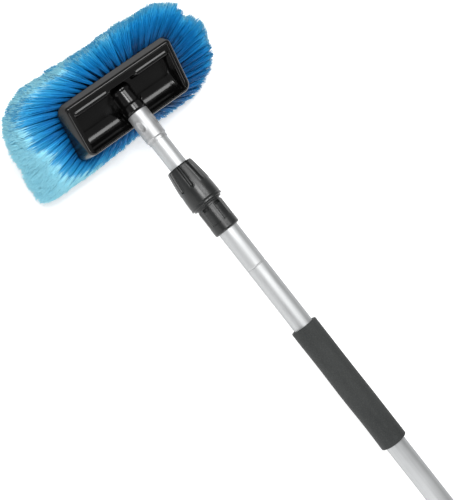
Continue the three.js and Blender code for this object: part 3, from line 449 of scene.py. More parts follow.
def softened(profile, radius, steps=3):
    """A closed profile with its corners rounded, and a point beside each round to hold its sides."""
    soft = []
    count = len(profile)
    for k, corner in enumerate(profile):
        corner = Vector(corner)
        before, after = Vector(profile[k - 1]) - corner, Vector(profile[(k + 1) % count]) - corner
        turn = pi - before.angle(after)
        size = min(radius, before.length * ROUND_SHARE, after.length * ROUND_SHARE)
        if turn < LEAST_TURN or size < LEAST_ROUND:
            soft.append(corner)
            continue
        a, b = corner + before.normalized() * size, corner + after.normalized() * size
        if before.length > size * HELD_SIDE:
            soft.append(corner + before.normalized() * size * HOLDING_POINT)
        for i in range(steps + 1):
            t = i / steps
            soft.append(a * (1 - t) ** 2 + corner * 2 * t * (1 - t) + b * t * t)
        if after.length > size * HELD_SIDE:
            soft.append(corner + after.normalized() * size * HOLDING_POINT)
    return [tuple(point) for point in soft]


def dense(points, step):
    """A profile's points with more between them, so that relief can show."""
    filled = []
    for (x, r), (next_x, next_r) in zip(points, points[1:]):
        parts = max(1, ceil(hypot(next_x - x, next_r - r) / step))
        filled += [(x + (next_x - x) * i / parts, r + (next_r - r) * i / parts) for i in range(parts)]
    return filled + [points[-1]]


def turned(name, profile, around=96, relief=None, matrix=POLE, smooth=True):
    """Revolves a closed profile of (x, radius) about the pole. relief(x, radius, angle) is how deep
    the surface is pressed in there."""
    profile = np.array(profile)
    angle = np.arange(around)[None, :] * tau / around
    x = profile[:, :1] + angle * 0
    radius = profile[:, 1:] + angle * 0
    if relief:
        radius = radius - relief(x, radius, angle + radius * 0)
    points = np.stack([x, radius * np.cos(angle), radius * np.sin(angle)], axis=-1).reshape(-1, 3)
    faces = strip(len(profile), around, True)
    return face_out(mesh_object(name, points.tolist(), faces, matrix, smooth))


def ease(value, low, high):
    """0 below low, 1 above high and smooth between."""
    share = np.clip((value - low) / (high - low), 0, 1)
    return share * share * (3 - 2 * share)


def bell(value, width):
    """1 at 0, and falling to both sides over a width."""
    return np.exp(-((value / width) ** 2))


def lathe(name, node, profile, relief, edge, steps=3, mesh=0.7, around=220):
    """A revolved piece with rounded corners and relief, in its node's place."""
    loop = dense(softened(profile, edge, steps), mesh)
    return dress(turned(name, loop, around, relief), node)


def from_middle(angle, count, phase=0.0):
    """The angle from the middle of the nearest of count places round the pole."""
    pitch = tau / count
    return (angle - phase * pitch + pitch / 2) % pitch - pitch / 2


# Rings and domes of the head


@dataclass
class Dome:
    """Rings that shrink from an edge, at share 0, to a ridge at share 1, and upwards again at shares
    below 0. A ring is a rounded rectangle. A place on it is a turn from 0 to 8: each unit runs from
    the middle of a side to the middle of a corner, or on to the middle of the next side. Turn 0 is
    the grip side's middle, 2 the right end's, 4 the head side's and 6 the left end's."""

    half_width: float
    half_length: float
    corners: np.ndarray
    depth: float
    power: float = 2.0
    drop: float = 0.0
    shift: tuple = (0, 0)
    lip: float = 0.0

    def level(self, share):
        """A ring's half width, half length, size against the edge's, and height."""
        angle = pi / 2 * np.abs(share)
        across = np.cos(angle) ** (2 / self.power)
        rise = np.sin(angle) ** (2 / self.power)
        half_width = self.half_width * across
        half_length = self.half_length - self.half_width + half_width
        height = np.where(share < 0, self.lip, -self.depth) * rise - self.drop
        return half_width, half_length, across, height

    def parts(self, share, stretch):
        """How far out a stretch's side lies, half that side's length, the corner's radius, the
        height, whether the stretch comes after the corner, and its quarter."""
        half_width, half_length, across, height = self.level(share)
        quarter = stretch // 2
        corner = self.corners[quarter] * across
        reach = np.where(quarter % 2 == 1, half_length, half_width)
        far = np.where(quarter % 2 == 1, half_width, half_length)
        late = stretch % 2 == 1
        near, far = np.where(late, far, reach), np.where(late, reach, far)
        return near, far, corner, height, late, quarter

    def length(self, share, stretch):
        """How long a stretch of a ring is, from a side's middle to a corner's middle."""
        _, far, corner, *_ = self.parts(np.float64(share), np.int64(stretch))
        return float(far - corner + corner * pi / 4)

    def points(self, share, turn):
        share, turn = np.broadcast_arrays(np.float64(share), np.float64(turn))
        stretch = np.floor(turn).astype(int) % 8
        near, far, corner, height, late, quarter = self.parts(share, stretch)
        part = turn - np.floor(turn)
        along = (far - corner + corner * pi / 4) * np.where(late, 1 - part, part)
        bend = np.maximum(0, along - far + corner) / corner
        across = near - corner + corner * np.cos(bend)
        forward = np.minimum(along, far - corner) + corner * np.sin(bend)
        x, y = np.where(late, forward, across), np.where(late, across, forward)
        c, s = np.cos(pi / 2 * quarter), np.sin(pi / 2 * quarter)
        turned_x, turned_y = x * c - y * s, x * s + y * c
        return np.stack([turned_x + self.shift[0], turned_y + self.shift[1], height], axis=-1)


FACE_CORNER, FACE_DEPTH = 23, 22
PLATE_THICKNESS = 5.3
face_dome = Dome(FACE_HALF_WIDTH, FACE_HALF_LENGTH, np.full(4, FACE_CORNER), FACE_DEPTH)
tip_corners = np.array([48, 62, 58, 9])
tip_dome = Dome(68, 141.5, tip_corners, depth=51, power=2.1, drop=35, shift=(9.5, 2), lip=40)


# Bristles

ROWS = 8
PITCH = 7.4
FIRST_ROOT, LAST_ROOT = 0.05, 0.93
# The share of the tip dome that the outermost row reaches, at each turn from 0 to 8
FIRST_TIPS = [0.02, 0.05, -0.1, 0.05, 0.1, -0.05, -0.45, -0.45, 0.02]
LAST_TIP = 0.93
STRANDS = 98
ROOT_SPREAD = 1.9
TIP_SPREAD = 1.12
# Stations along a bristle, and its radius and its share of the crimp at each
ALONG = np.array([0.0, 0.38, 0.68, 0.87, 1.0])
RADII = np.array([0.36, 0.4, 0.42, 0.4, 0.25])
CRIMP = np.array([0.0, 0.35, 0.6, 0.9, 1.0])
# Random spreads of a tuft's place and cut, and of a bristle's aim, cut, bow and crimp
TUFT_WANDER, TUFT_CUT = 0.7, 1.3
AIM_WANDER, STRAND_CUT, BOW, CRIMP_SIZE = 0.12, 2.0, 0.8, 0.55
MIDDLE_TONE, TONE_SPREAD, PALE_SPREAD = 0.5, 0.2, 0.02
# Bristles splay more towards their tips
SPLAY_POWER = 1.5
# A small step on the face, to find its directions
NEAR = 0.01
# Crossed with a bristle's direction, this gives one square to it
SIDEWAYS = [0.31, 0.52, 0.79]
# Bristles that would reach lower are pressed to this height above the ground
GROUND = 0.4 * MM
# How far the colour runs by the bristles' tips, at each half turn from 0 to 8. This is painted light:
# the tips run paler at the lit left end and less far where less light falls.
PAINTED_TIP_LIGHT = [
    0.78, 0.76, 0.74, 0.76, 0.8, 0.84, 0.84, 0.78, 0.8, 0.9, 0.86, 1.02, 1.08, 1.06, 1.06, 0.92, 0.78,
]
# The tips are cut back at one turn, between the head's right end and its head side
NOTCH_AT, NOTCH_WIDTH, NOTCH_DEPTH = 2.7, 0.18, 12
# The colour runs along a bristle by this power, which grows from the left end to the right one, so
# that the right end's bristles stay darker: painted shade.
EARLY, LATE = 0.82, 1.75
EARLY_REACH, LATE_REACH = 35, 60
ridge_half = FACE_HALF_LENGTH - FACE_HALF_WIDTH


def plate_of(x, y):
    """The plate that a place on the face belongs to."""
    if abs(y) - ridge_half - abs(x) > 0:
        return "bristles_right_end" if y > 0 else "bristles_left_end"
    return "bristles_grip_side" if x > 0 else "bristles_head_side"


def unit(vectors):
    return vectors / np.linalg.norm(vectors, axis=-1, keepdims=True)


def heading(share, turn, share_step, turn_step):
    """The direction on the face in which the share or the turn grows."""
    ahead = face_dome.points(share + share_step, turn + turn_step)
    behind = face_dome.points(share - share_step, turn - turn_step)
    return unit(ahead - behind)


def tuft(root_share, row_share, turn, half_turn):
    """One tuft's bristles: their points from root to tip, their tones, and how far the colour has
    run at each point, which carries painted light and shade by side."""
    first = np.interp(turn, range(9), FIRST_TIPS)
    tip_share = first + (LAST_TIP - first) * row_share
    tip_step = (LAST_TIP - first) / (ROWS - 1)
    off = np.sqrt(draw.random(STRANDS))
    way = draw.random(STRANDS) * tau
    a, b = off * np.cos(way), off * np.sin(way)
    middle = face_dome.points(root_share, turn)
    ring_way = heading(root_share, turn, 0, NEAR)
    row_way = heading(root_share, turn, NEAR, 0)
    start = (ring_way * a[:, None] + row_way * b[:, None]) * ROOT_SPREAD
    tip_middle = tip_dome.points(tip_share, turn) + draw.normal(0, TUFT_WANDER, 3)
    shares = tip_share + (b * TIP_SPREAD + draw.normal(0, AIM_WANDER, STRANDS)) * tip_step / 2
    turns = turn + (a * TIP_SPREAD + draw.normal(0, AIM_WANDER, STRANDS)) * half_turn
    end = tip_dome.points(np.minimum(shares, LAST_TIP), turns % 8) - tip_middle
    axis = unit(tip_middle - middle)
    notch = NOTCH_DEPTH * exp(-(((turn - NOTCH_AT) / NOTCH_WIDTH) ** 2))
    cut = notch + draw.normal(0, TUFT_CUT)
    end = end - axis * (np.abs(draw.normal(0, STRAND_CUT, STRANDS)) + cut)[:, None]
    wide = (ALONG**SPLAY_POWER)[None, :, None]
    points = middle + (tip_middle - middle) * ALONG[None, :, None]
    points = points + start[:, None, :] * (1 - wide) + end[:, None, :] * wide
    bow = draw.normal(0, BOW, (STRANDS, 1, 3)) * np.sin(pi * ALONG)[None, :, None]
    crimp = draw.normal(0, CRIMP_SIZE, (STRANDS, len(ALONG), 3)) * CRIMP[None, :, None]
    tone = MIDDLE_TONE + draw.normal(0, TONE_SPREAD) + draw.normal(0, TONE_SPREAD, STRANDS)
    # Painted light and shade by side: paler tips at the left end, and a later colour run towards the
    # right end.
    pale = np.interp(turn * 2, range(len(PAINTED_TIP_LIGHT)), PAINTED_TIP_LIGHT) + draw.normal(0, PALE_SPREAD)
    bend = np.interp(middle[1], [-EARLY_REACH, LATE_REACH], [EARLY, LATE])
    along = np.tile(pale * ALONG**bend, (STRANDS, 1))
    return points + bow + crimp, np.clip(tone, 0, 1), along


def all_tufts():
    """The bristles of each plate's two halves, as arrays of points, tones and colour runs."""
    grouped = {}
    for row in range(ROWS):
        share = row / (ROWS - 1)
        root_share = FIRST_ROOT + (LAST_ROOT - FIRST_ROOT) * share
        for stretch in range(8):
            count = max(1, round(face_dome.length(root_share, stretch) / PITCH))
            for k in range(count):
                turn = stretch + (k + 0.5) / count
                x, y, _ = face_dome.points(root_share, turn)
                made = tuft(root_share, share, turn, 0.5 / count)
                plate = plate_of(x, y)
                half = "right" if y > 0 else "left"
                grouped.setdefault((plate, half), []).append(made)
    return {place: map(np.concatenate, zip(*made)) for place, made in grouped.items()}


def strand_mesh(name, points, tones, along):
    """Three-sided bristles through their points, as one mesh. Its UV map holds each point's colour
    run and each bristle's tone."""
    strands, rows = points.shape[:2]
    axis = unit(points[:, -1] - points[:, 0])
    side = unit(np.cross(axis, SIDEWAYS))
    other = np.cross(axis, side)
    angles = tau * np.arange(3) / 3
    c, s = np.cos(angles)[None, :, None], np.sin(angles)[None, :, None]
    around = side[:, None] * c + other[:, None] * s
    corners = points[:, :, None] + around[:, None] * RADII[None, :, None, None]
    place = np.array(POLE @ RIM @ FACE)
    corners = corners.reshape(-1, 3) @ place[:3, :3].T + place[:3, 3]
    corners[:, 2] = np.maximum(corners[:, 2], GROUND)
    quads = np.array(strip(rows, 3, False)).reshape(-1)
    top = (rows - 1) * 3
    loops = np.concatenate([quads, [top, top + 1, top + 2, 2, 1, 0]])
    sizes = np.array([4] * (3 * (rows - 1)) + [3, 3])
    loops = (loops[None, :] + np.arange(strands)[:, None] * rows * 3).reshape(-1)
    sizes = np.tile(sizes, strands)
    mesh = bpy.data.meshes.new(name)
    mesh.vertices.add(len(corners))
    mesh.vertices.foreach_set("co", corners.reshape(-1).astype(np.float32))
    mesh.loops.add(len(loops))
    mesh.loops.foreach_set("vertex_index", loops.astype(np.int32))
    mesh.polygons.add(len(sizes))
    mesh.polygons.foreach_set("loop_start", (np.cumsum(sizes) - sizes).astype(np.int32))
    mesh.polygons.foreach_set("use_smooth", np.ones(len(sizes), bool))
    mesh.update(calc_edges=True)
    along = np.repeat(along, 3, axis=1).reshape(-1)
    tone = np.repeat(tones, rows * 3)
    uv = np.stack([along[loops], tone[loops]], axis=-1)
    mesh.uv_layers.new(name="strand").data.foreach_set("uv", uv.reshape(-1).astype(np.float32))
    return placed(name, mesh)


def build_bristles():
    """One piece for each end's plate and two for each side's."""
    for (plate, half), parts in all_tufts().items():
        name = plate.replace("bristles", "filaments")
        name = name if name.endswith("end") else f"{name}_{half}"
        dress(strand_mesh(name, *parts), plate)


build_bristles()


# Head block

# The face's inner edge, as shares of its outermost ring
FACE_EDGE_SHARES = [0.9, 0.95, 1]


def face_rings(inset, levels=10, last=0.94, around=96):
    """Rings of a dome that lies inset inside the face's, from its edge nearly to its ridge."""
    width, length = FACE_HALF_WIDTH - inset, FACE_HALF_LENGTH - inset
    small = Dome(width, length, np.full(4, FACE_CORNER - inset), FACE_DEPTH - inset)
    turns = np.arange(around) * 8 / around
    return [small.points(last * k / levels, turns) for k in range(levels + 1)]


def build_face():
    """The black face that the tufts stand in."""
    outer = face_rings(0)
    edge = outer[0] * FACE_EDGE_SHARES
    piece = loft([edge, *outer], POLE @ RIM @ FACE)
    piece.name = "tuft_face"
    piece.data.polygons.foreach_set("use_smooth", [True] * len(piece.data.polygons))
    piece.data.materials.append(looks["black_plastic"])
    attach(piece, "extension")


build_face()

RIM_WALL = 3.2
RIM_EDGE = 1.8
RECESS_DEPTH = 3
LEDGE_WIDTH, LEDGE_END = 12.3, 4
LEDGE_ROUND = 2.4
SCOOP_DEPTH, SCOOP_POWER, SCOOP_SIDE_STEP = 20, 2.4, 0.6
SCOOP_STEPS = 40
SCOOP_END_ROUND, SCOOP_END_STEPS = 6, 8
RIM_CORNERS, RECESS_CORNERS = (4, 9), (1.5, 5.8)
BEAD_RADIUS, BEAD_RISE, BEAD_INSET, BEAD_START, BEAD_FROM_END = 3.4, 1.8, 2.8, 22, 7
BEAD_STEPS, BEAD_SIDES, BEAD_POINT_SHARE = 8, 32, 0.05
WELL_START, WELL_HALF_WIDTH, WELL_MIDDLE, WELL_ROUND, WELL_FOOT_DEPTH = 12, 17, 38, 22, 8
NECK_LENGTH = 32
SPIGOT_THREAD = 9
FIT = 0.3
NECK_RADIUS, NECK_HEAD_RADIUS, NECK_MOUTH_RADIUS = 13, 13.7, 14
NECK_HEAD_RING, MOUTH_RING, MOUTH_EDGE, MOUTH_END = 3.5, 10.5, 1.3, 0.3
WEB_HALF_WIDTH, WEB_DEPTH = 12.5, 60
FOOT_FLARE, FOOT_CORNER, FOOT_RISE = 4, 12, 0.3
# The neck is cut off at this depth under the foot, with a box that reaches well past it
NECK_CUT, FAR = 10, 300


def recess():
    """The shallow hollow inside the rim."""
    low = (RIM_WALL, RIM_WALL - RIM_LENGTH / 2)
    high = (RIM_WIDTH - RIM_WALL, RIM_LENGTH / 2 - RIM_WALL)
    return loft([rounded_ring(low, high, RECESS_CORNERS, z) for z in (-RECESS_DEPTH, OVERRUN)])


def scoop():
    """Half a squared ellipse along the back, with a round where the ledge turns down into it."""
    low, high = RIM_WALL + LEDGE_WIDTH, RIM_WIDTH - RIM_WALL - SCOOP_SIDE_STEP
    half = RIM_LENGTH / 2 - RIM_WALL - LEDGE_END
    middle = (low - LEDGE_ROUND, -RECESS_DEPTH - LEDGE_ROUND)
    outline = arc(*middle, LEDGE_ROUND, pi / 2, -pi / 2, steps=10)
    for k in range(1, SCOOP_STEPS + 1):
        angle = pi * k / SCOOP_STEPS
        across = copysign(abs(cos(angle)) ** (2 / SCOOP_POWER), cos(angle))
        down = abs(sin(angle)) ** (2 / SCOOP_POWER)
        z = -RECESS_DEPTH - SCOOP_DEPTH * down
        x = (low + high - across * (high - low)) / 2
        if z < outline[-1][1] or k > SCOOP_STEPS / 2:
            outline.append((x, z))
    outline += [(high, OVERRUN), (low - LEDGE_ROUND, OVERRUN)]
    rings = []
    for k in range(SCOOP_END_STEPS + 1):
        angle = pi / 2 * k / SCOOP_END_STEPS
        lift = 1 - (1 - sin(angle)) * SCOOP_END_ROUND / SCOOP_DEPTH
        y = half - (1 - cos(angle)) * SCOOP_END_ROUND
        ring = []
        for x, z in outline:
            lifted = (z + RECESS_DEPTH) * lift - RECESS_DEPTH if z < 0 else z
            ring.append((x, y, lifted))
        rings.append(ring)
    rings += [[(x, -y, z) for x, y, z in ring] for ring in reversed(rings)]
    return loft(rings)


def beads():
    """A low rounded bar with round ends along each pocket's ledge."""
    x = RIM_WALL + LEDGE_WIDTH - BEAD_INSET
    z = BEAD_RISE - RECESS_DEPTH - BEAD_RADIUS
    made = []
    for side in (1, -1):
        ends = sorted((side * BEAD_START, side * (RIM_LENGTH / 2 - RIM_WALL - BEAD_FROM_END)))
        rings = []
        for k in range(2 * BEAD_STEPS + 2):
            late = k > BEAD_STEPS
            angle = pi / 2 * (k - late) / BEAD_STEPS
            size = BEAD_RADIUS * max(BEAD_POINT_SHARE, sin(angle))
            y = ends[late] - BEAD_RADIUS * cos(angle)
            rings.append([(a, y, b) for a, b in circle(x, z, size, BEAD_SIDES)])
        made.append(loft(rings))
    return made


def well():
    """Straight beside the neck's head end and round beside its mouth, down to under the foot."""
    lean = asin(WELL_HALF_WIDTH / WELL_ROUND)
    outline = [(WELL_START, WELL_HALF_WIDTH), (WELL_START, -WELL_HALF_WIDTH)]
    sweep = tau - 2 * lean
    outline += arc(WELL_MIDDLE, 0, WELL_ROUND, lean - pi, sweep, steps=48)
    slope = tan(foot_tilt)
    floor = foot_middle[2] - WELL_FOOT_DEPTH / cos(foot_tilt)
    low = [(x, y, floor - (x - foot_middle[0]) * slope) for x, y in outline]
    return loft([low, [(x, y, OVERRUN) for x, y in outline]])


def walls():
    """The block's outside: the back rim with its chamfered edge, and the foot."""

    def rim(inset, height):
        low, high = (inset, inset - RIM_LENGTH / 2), (RIM_WIDTH - inset, RIM_LENGTH / 2 - inset)
        return rounded_ring(low, high, RIM_CORNERS, height)

    reach = (foot_half_width, foot_half_length + FOOT_FLARE)
    foot = rounded_ring((-reach[0], -reach[1]), reach, (FOOT_CORNER, FOOT_CORNER), FOOT_RISE)
    foot = [tuple(FACE @ Vector(point)) for point in foot]
    return loft([foot, rim(0, -RIM_EDGE), rim(RIM_EDGE, 0)])


def neck():
    """The neck's outside, coaxial with the pole, with a ring at each end."""
    head = (NECK_HEAD_RADIUS, NECK_HEAD_RING - NECK_LENGTH)
    mouth = (NECK_MOUTH_RADIUS, -MOUTH_EDGE)
    profile = lands(-NECK_LENGTH, head, (NECK_RADIUS, -MOUTH_RING), mouth)
    profile.append((-MOUTH_END, NECK_RADIUS))
    return loft([hoop(x, radius, sides=96) for x, radius in profile], to_rim)


def build_block():
    """The block: walls and face, less the hollow back, with neck, web and ledge bars."""
    inner = face_rings(PLATE_THICKNESS)
    top = inner[0] + [0, 0, OVERRUN]
    dome = loft([top, *inner], FACE)
    outside = fused(walls(), dome)
    hollow = fused(recess(), scoop(), well())
    web_low, web_high = (-NECK_LENGTH, -WEB_HALF_WIDTH, -WEB_DEPTH), (MOUTH_RING, WEB_HALF_WIDTH, 0)
    hollow = less(hollow, box(web_low, web_high, to_rim))
    under = box((-FAR, -FAR, -FAR), (FAR, FAR, -NECK_CUT), FACE)
    collar = less(neck(), under)
    block = less(outside, hollow)
    block = fused(block, collar, *beads())
    bore_end = span("neck_washer")[0] - FIT
    seat = rod(-FIT, RIM_REACH, span("tip_ferrule")[3] + FIT, matrix=to_rim)
    block = less(block, seat, rod(bore_end, OVERRUN, SPIGOT_THREAD + FIT, matrix=to_rim))
    dress(soften(block, "moulded_block", voxel=0.8, passes=5, matrix=POLE @ RIM), "brush_block")


build_block()


# Tubes and ferrule

TUBE_WALL, TUBE_EDGE = 0.9, 0.25
GROOVE_AT, GROOVE_WIDTH, GROOVE_DEPTH, GROOVE_STEPS = 221.3, 2.4, 0.55, 10


def tube_profile(start, end, radius, bore, between=()):
    return [(start, bore), (start, radius), *between, (end, radius), (end, bore)]


def build_tubes():
    """Inner tube, and outer tube with its rolled groove."""
    start, end, bore, radius = span("inner_tube")
    profile = softened(tube_profile(start, end, radius, bore), TUBE_EDGE)
    dress(turned("drawn_inner_tube", profile), "inner_tube")
    start, end, _, radius = span("outer_tube")
    bore = radius - TUBE_WALL
    groove = []
    for k in range(GROOVE_STEPS + 1):
        share = k / GROOVE_STEPS
        press = GROOVE_DEPTH * sin(pi * share) ** 2
        groove.append((GROOVE_AT + GROOVE_WIDTH * (share - 0.5), radius - press))
    profile = softened(tube_profile(start, end, radius, bore, groove), TUBE_EDGE)
    dress(turned("drawn_outer_tube", profile), "outer_tube")


build_tubes()

DENT_AT, DENT_TURN = 17.6, radians(48)
DENT_LENGTH, DENT_WIDTH, DENT_DEPTH, DENT_SLANT = 5.2, 3.0, 1.05, 5
DENT_LIP, DENT_LIP_AT, DENT_LIP_FALL = 0.25, 1.35, 9
CRIMP_AT, CRIMP_WIDTH, CRIMP_DEPTH = 31.5, 1.6, 0.15
FERRULE_TAIL, FERRULE_TAIL_RADIUS = 4.7, 11.9
FERRULE_STEP, FERRULE_LIP = 0.9, 0.7
# The bore lies inside these radii and gets no relief
FERRULE_SKIN = (11.6, 11.8)
# Height, waves round the sleeve and twist along it of each unevenness
FERRULE_WAVES = ((0.05, 2, 0.23), (0.04, 5, -0.41))


def ferrule_relief(x, radius, angle):
    """Two staked dents, a rolled crimp and the slight unevenness of a drawn sleeve."""
    outside = ease(radius, *FERRULE_SKIN)
    press = 0
    for turn in (DENT_TURN, -DENT_TURN):
        # The angle starts at the pole frame's Y and runs to its Z
        off = (angle - pi / 2 - turn + pi) % tau - pi
        away = np.hypot((x - DENT_AT + off * DENT_SLANT) / DENT_LENGTH, off * radius / DENT_WIDTH)
        lip = DENT_LIP * np.exp(-((away - DENT_LIP_AT) ** 2) * DENT_LIP_FALL)
        press = press + DENT_DEPTH * np.exp(-(away**4)) - lip
    crimp = CRIMP_DEPTH * bell(x - CRIMP_AT, CRIMP_WIDTH)
    wave = sum(height * np.sin(count * angle + x * twist) for height, count, twist in FERRULE_WAVES)
    return outside * (press + crimp + wave)


def build_ferrule():
    start, end, _, radius = span("tip_ferrule")
    bore = span("inner_tube")[3] + FIT
    step = end - FERRULE_TAIL
    profile = [
        (start + FERRULE_LIP, bore), (start, SPIGOT_THREAD + FIT), (start, radius), (step, radius),
        (step + FERRULE_STEP, FERRULE_TAIL_RADIUS), (end, FERRULE_TAIL_RADIUS), (end, bore),
    ]
    lathe("crimped_ferrule", "tip_ferrule", profile, ferrule_relief, edge=0.9, steps=5, mesh=0.5)


build_ferrule()


# Twist lock

NUT_TOP, NUT_BELLY, NUT_SKIRT = 16.1, 20.4, 18.4
NUT_SKIRT_LENGTH, NUT_LIP = 2.2, 3.4
NUT_HOLE, NUT_THREAD = 11.6, 15.6
CONE_START, CONE_END, CONE_LENGTH, NUT_TOP_WALL = 13.2, 15.3, 18, 3.2
FLUTES, FLUTE_LENGTH, FLUTE_HALF, FLUTE_DEPTH = 8, 28.4, 1.9, 2.2
FLUTE_INNER, FLUTE_OUTER = 0.45, 1.1
FLUTE_RIDGE, FLUTE_RIDGE_AT, FLUTE_RIDGE_WIDTH = 0.5, 1.45, 0.7
NUT_RING_DEPTH, NUT_RING_WIDTH = 0.35, 0.45
NUT_SKIN = (15.0, 15.4)
NUT_ROUND, NUT_TOP_INSET, NUT_LIP_RISE, BELLY_STEPS = 1.6, 0.6, 0.3, 24


def build_nut():
    """The nut: a barrel that swells to a lip, with flutes from its head end."""
    start, end, *_ = span("collar_nut")
    lip_end = end - NUT_SKIRT_LENGTH
    belly_end = lip_end - NUT_LIP

    def relief(x, radius, angle):
        outside = ease(radius, *NUT_SKIN) * (1 - ease(x, lip_end - 0.2, lip_end))
        off = from_middle(angle - pi / 2, FLUTES, 0.5) * radius
        away = np.hypot(np.maximum(0, x - start - FLUTE_LENGTH + FLUTE_HALF), off)
        flute = FLUTE_DEPTH * (1 - ease(away, FLUTE_HALF * FLUTE_INNER, FLUTE_HALF * FLUTE_OUTER))
        ridge = FLUTE_RIDGE * bell(away - FLUTE_HALF * FLUTE_RIDGE_AT, FLUTE_RIDGE_WIDTH)
        ring = NUT_RING_DEPTH * bell(x - belly_end, NUT_RING_WIDTH)
        return outside * (flute - ridge + ring)

    belly = []
    for k in range(BELLY_STEPS + 1):
        share = k / BELLY_STEPS
        swell = NUT_TOP + (NUT_BELLY - NUT_TOP) * sin(pi / 2 * share)
        belly.append((start + NUT_ROUND + (belly_end - start - NUT_ROUND) * share, swell))
    cone = start + NUT_TOP_WALL
    cone_end = cone + CONE_LENGTH
    inside = [*lands(end, (NUT_THREAD, cone_end)), (cone_end, CONE_END), (cone, CONE_START)]
    inside += lands(cone, (NUT_HOLE, start))
    lip = [(lip_end, NUT_BELLY + NUT_LIP_RISE), *lands(lip_end, (NUT_SKIRT, end))]
    profile = [(start, NUT_TOP - NUT_TOP_INSET), *belly, *lip, *inside]
    lathe("fluted_nut", "collar_nut", profile, relief, edge=1.1, steps=4, around=240)


PANELS, PANEL_PHASE, PANEL_WIDTH, PANEL_LENGTH, PANEL_DEPTH = 6, 0.7, 10.5, 22, 0.5
PANEL_SLOT_LENGTH, PANEL_SLOT_DEPTH = 3.0, 3.0
PANEL_BEAD, PANEL_BEAD_OUT, PANEL_BEAD_WIDTH = 0.3, 0.6, 0.5
COLLAR_SKIN = (14.6, 15.4)
COLLAR_RADIUS, COLLAR_NECK, COLLAR_EDGE = 16.25, 2.2, 1.3


def build_collar():
    """The lock's body, with sunk panels that each have a window under the nut's lip."""
    start, end, bore, _ = span("collar_body")
    tube_start, _, _, tube_radius = span("outer_tube")
    shoulder = span("collar_nut")[1] + FIT + COLLAR_NECK
    half, panel_end = PANEL_WIDTH / 2, shoulder + PANEL_LENGTH
    slot_end = shoulder + PANEL_SLOT_LENGTH

    def relief(x, radius, angle):
        outside = ease(radius, *COLLAR_SKIN) * ease(x, shoulder - 0.1, shoulder + 0.1)
        off = np.abs(from_middle(angle - pi / 2, PANELS, PANEL_PHASE)) * radius
        side = 1 - ease(off, half - 0.4, half + 0.3)
        panel = side * (1 - ease(x, panel_end - 0.5, panel_end + 0.5))
        slot = (1 - ease(off, half - 1.6, half - 1.1)) * (1 - ease(x, slot_end, slot_end + 0.5))
        bead = PANEL_BEAD * bell(off - half - PANEL_BEAD_OUT, PANEL_BEAD_WIDTH)
        bead = bead * (1 - ease(x, panel_end - 1, panel_end))
        return outside * (PANEL_DEPTH * panel + PANEL_SLOT_DEPTH * slot - bead)

    outer = lands(start, (NUT_THREAD - FIT, shoulder), (COLLAR_RADIUS, end - COLLAR_EDGE))
    inside = lands(end, (tube_radius + FIT, tube_start - FIT), (bore, start))
    profile = [*outer, (end, COLLAR_RADIUS - COLLAR_EDGE), *inside]
    lathe("panelled_collar", "collar_body", profile, relief, edge=0.6)


build_nut()
build_collar()


# Foam grip

FOAM_WAVES, FOAM_WAVE_SHARE, FOAM_INSET = 7, 0.05, 0.2


def build_grip():
    """Foam sleeve with soft ends and a slightly uneven skin."""
    start, end, bore, radius = span("foam_grip")
    waves = []
    for _ in range(FOAM_WAVES):
        waves.append((draw.uniform(0, tau), draw.integers(2, 6), draw.uniform(0.02, 0.09)))

    def relief(x, depth, angle):
        swell = sum(np.sin(n * angle + pitch * x + phase) for phase, n, pitch in waves)
        return (FOAM_INSET - swell * FOAM_WAVE_SHARE) * ease(depth, bore + 1.5, bore + 2)

    profile = tube_profile(start, end, radius, bore)
    shape = {"edge": 1.8, "steps": 6, "mesh": 2.5, "around": 96}
    piece = lathe("foam_sleeve", "foam_grip", profile, relief, **shape)


build_grip()


# Valve and hose nipple

SOCKET_LENGTH, SOCKET_RADIUS = 30, 15.6
SOCKET_RIBS, SOCKET_RIB, SOCKET_RIB_PITCH = 3, 0.7, 4.6
# Where a rib's top ends, and where its slope and its land end
RIB_TOP, RIB_SLOPE, RIB_LAND = 1.6, 2.4, 4.0
SCREW_FROM_END, SCREW_START, SCREW_HOLE = 14, 10, 1.7
VALVE_EDGE = 1.4
VALVE_RADIUS, VALVE_SHOULDER, VALVE_BARREL, VALVE_MOUTH = 18, 4, 30, 13.4
VALVE_WALL, VALVE_BORE, POCKET_RADIUS = 3.8, 6.5, 9.8
BOSS_RADIUS, BOSS_FOOT, BOSS_HEIGHT = 7.5, 5, 23.2
STEM_RADIUS, STEM_REACH = 3.8, 40
LEVER_LOW, LEVER_LENGTH, LEVER_HUB, LEVER_TIP, LEVER_THICKNESS = 23.5, 46, 8, 5, 4.6
LEVER_RIDGES, LEVER_RIDGE_PITCH, LEVER_RIDGE_HEIGHT = 4, 4, 0.7
RIDGE_HALF_WIDTH, RIDGE_HALF_LENGTH = 0.8, 3.5
STEM_HOLE = 2.8
FLANGE_RADIUS, FLANGE_LENGTH, NIPPLE_BORE = 13.4, 5.5, 5
# The nipple's tail, by radius, and where along it the claw's notch and the seal's groove lie
TAIL_RADIUS, CLAW_RADIUS, SEAL_RADIUS, NOSE_RADIUS, TIP_RADIUS = 8.3, 6.9, 5.9, 7.6, 6
CLAW_START, CLAW_END, SEAL_START, SEAL_END, NOSE_EDGE = 7, 11, 15, 17.8, 1.6

ball_at = (to_pole @ Vector(joints["valve_turn"]["pos_m"]))[0]
tube_end = span("outer_tube")[1]
UPRIGHT = Matrix.Translation((ball_at, 0, 0)) @ Matrix.Rotation(-pi / 2, 4, "Y")


def revolved(profile):
    """A closed profile revolved about the pole as a solid to carve, still in millimetres."""
    return turned("solid", profile, matrix=Matrix.Identity(4), smooth=False)


def side_matrix(side):
    """Turns a rod along X into one that stands out of a side of the socket."""
    turn = Matrix.Rotation(pi / 2 * side, 4, "Z")
    return Matrix.Translation((tube_end - SCREW_FROM_END, 0, 0)) @ turn


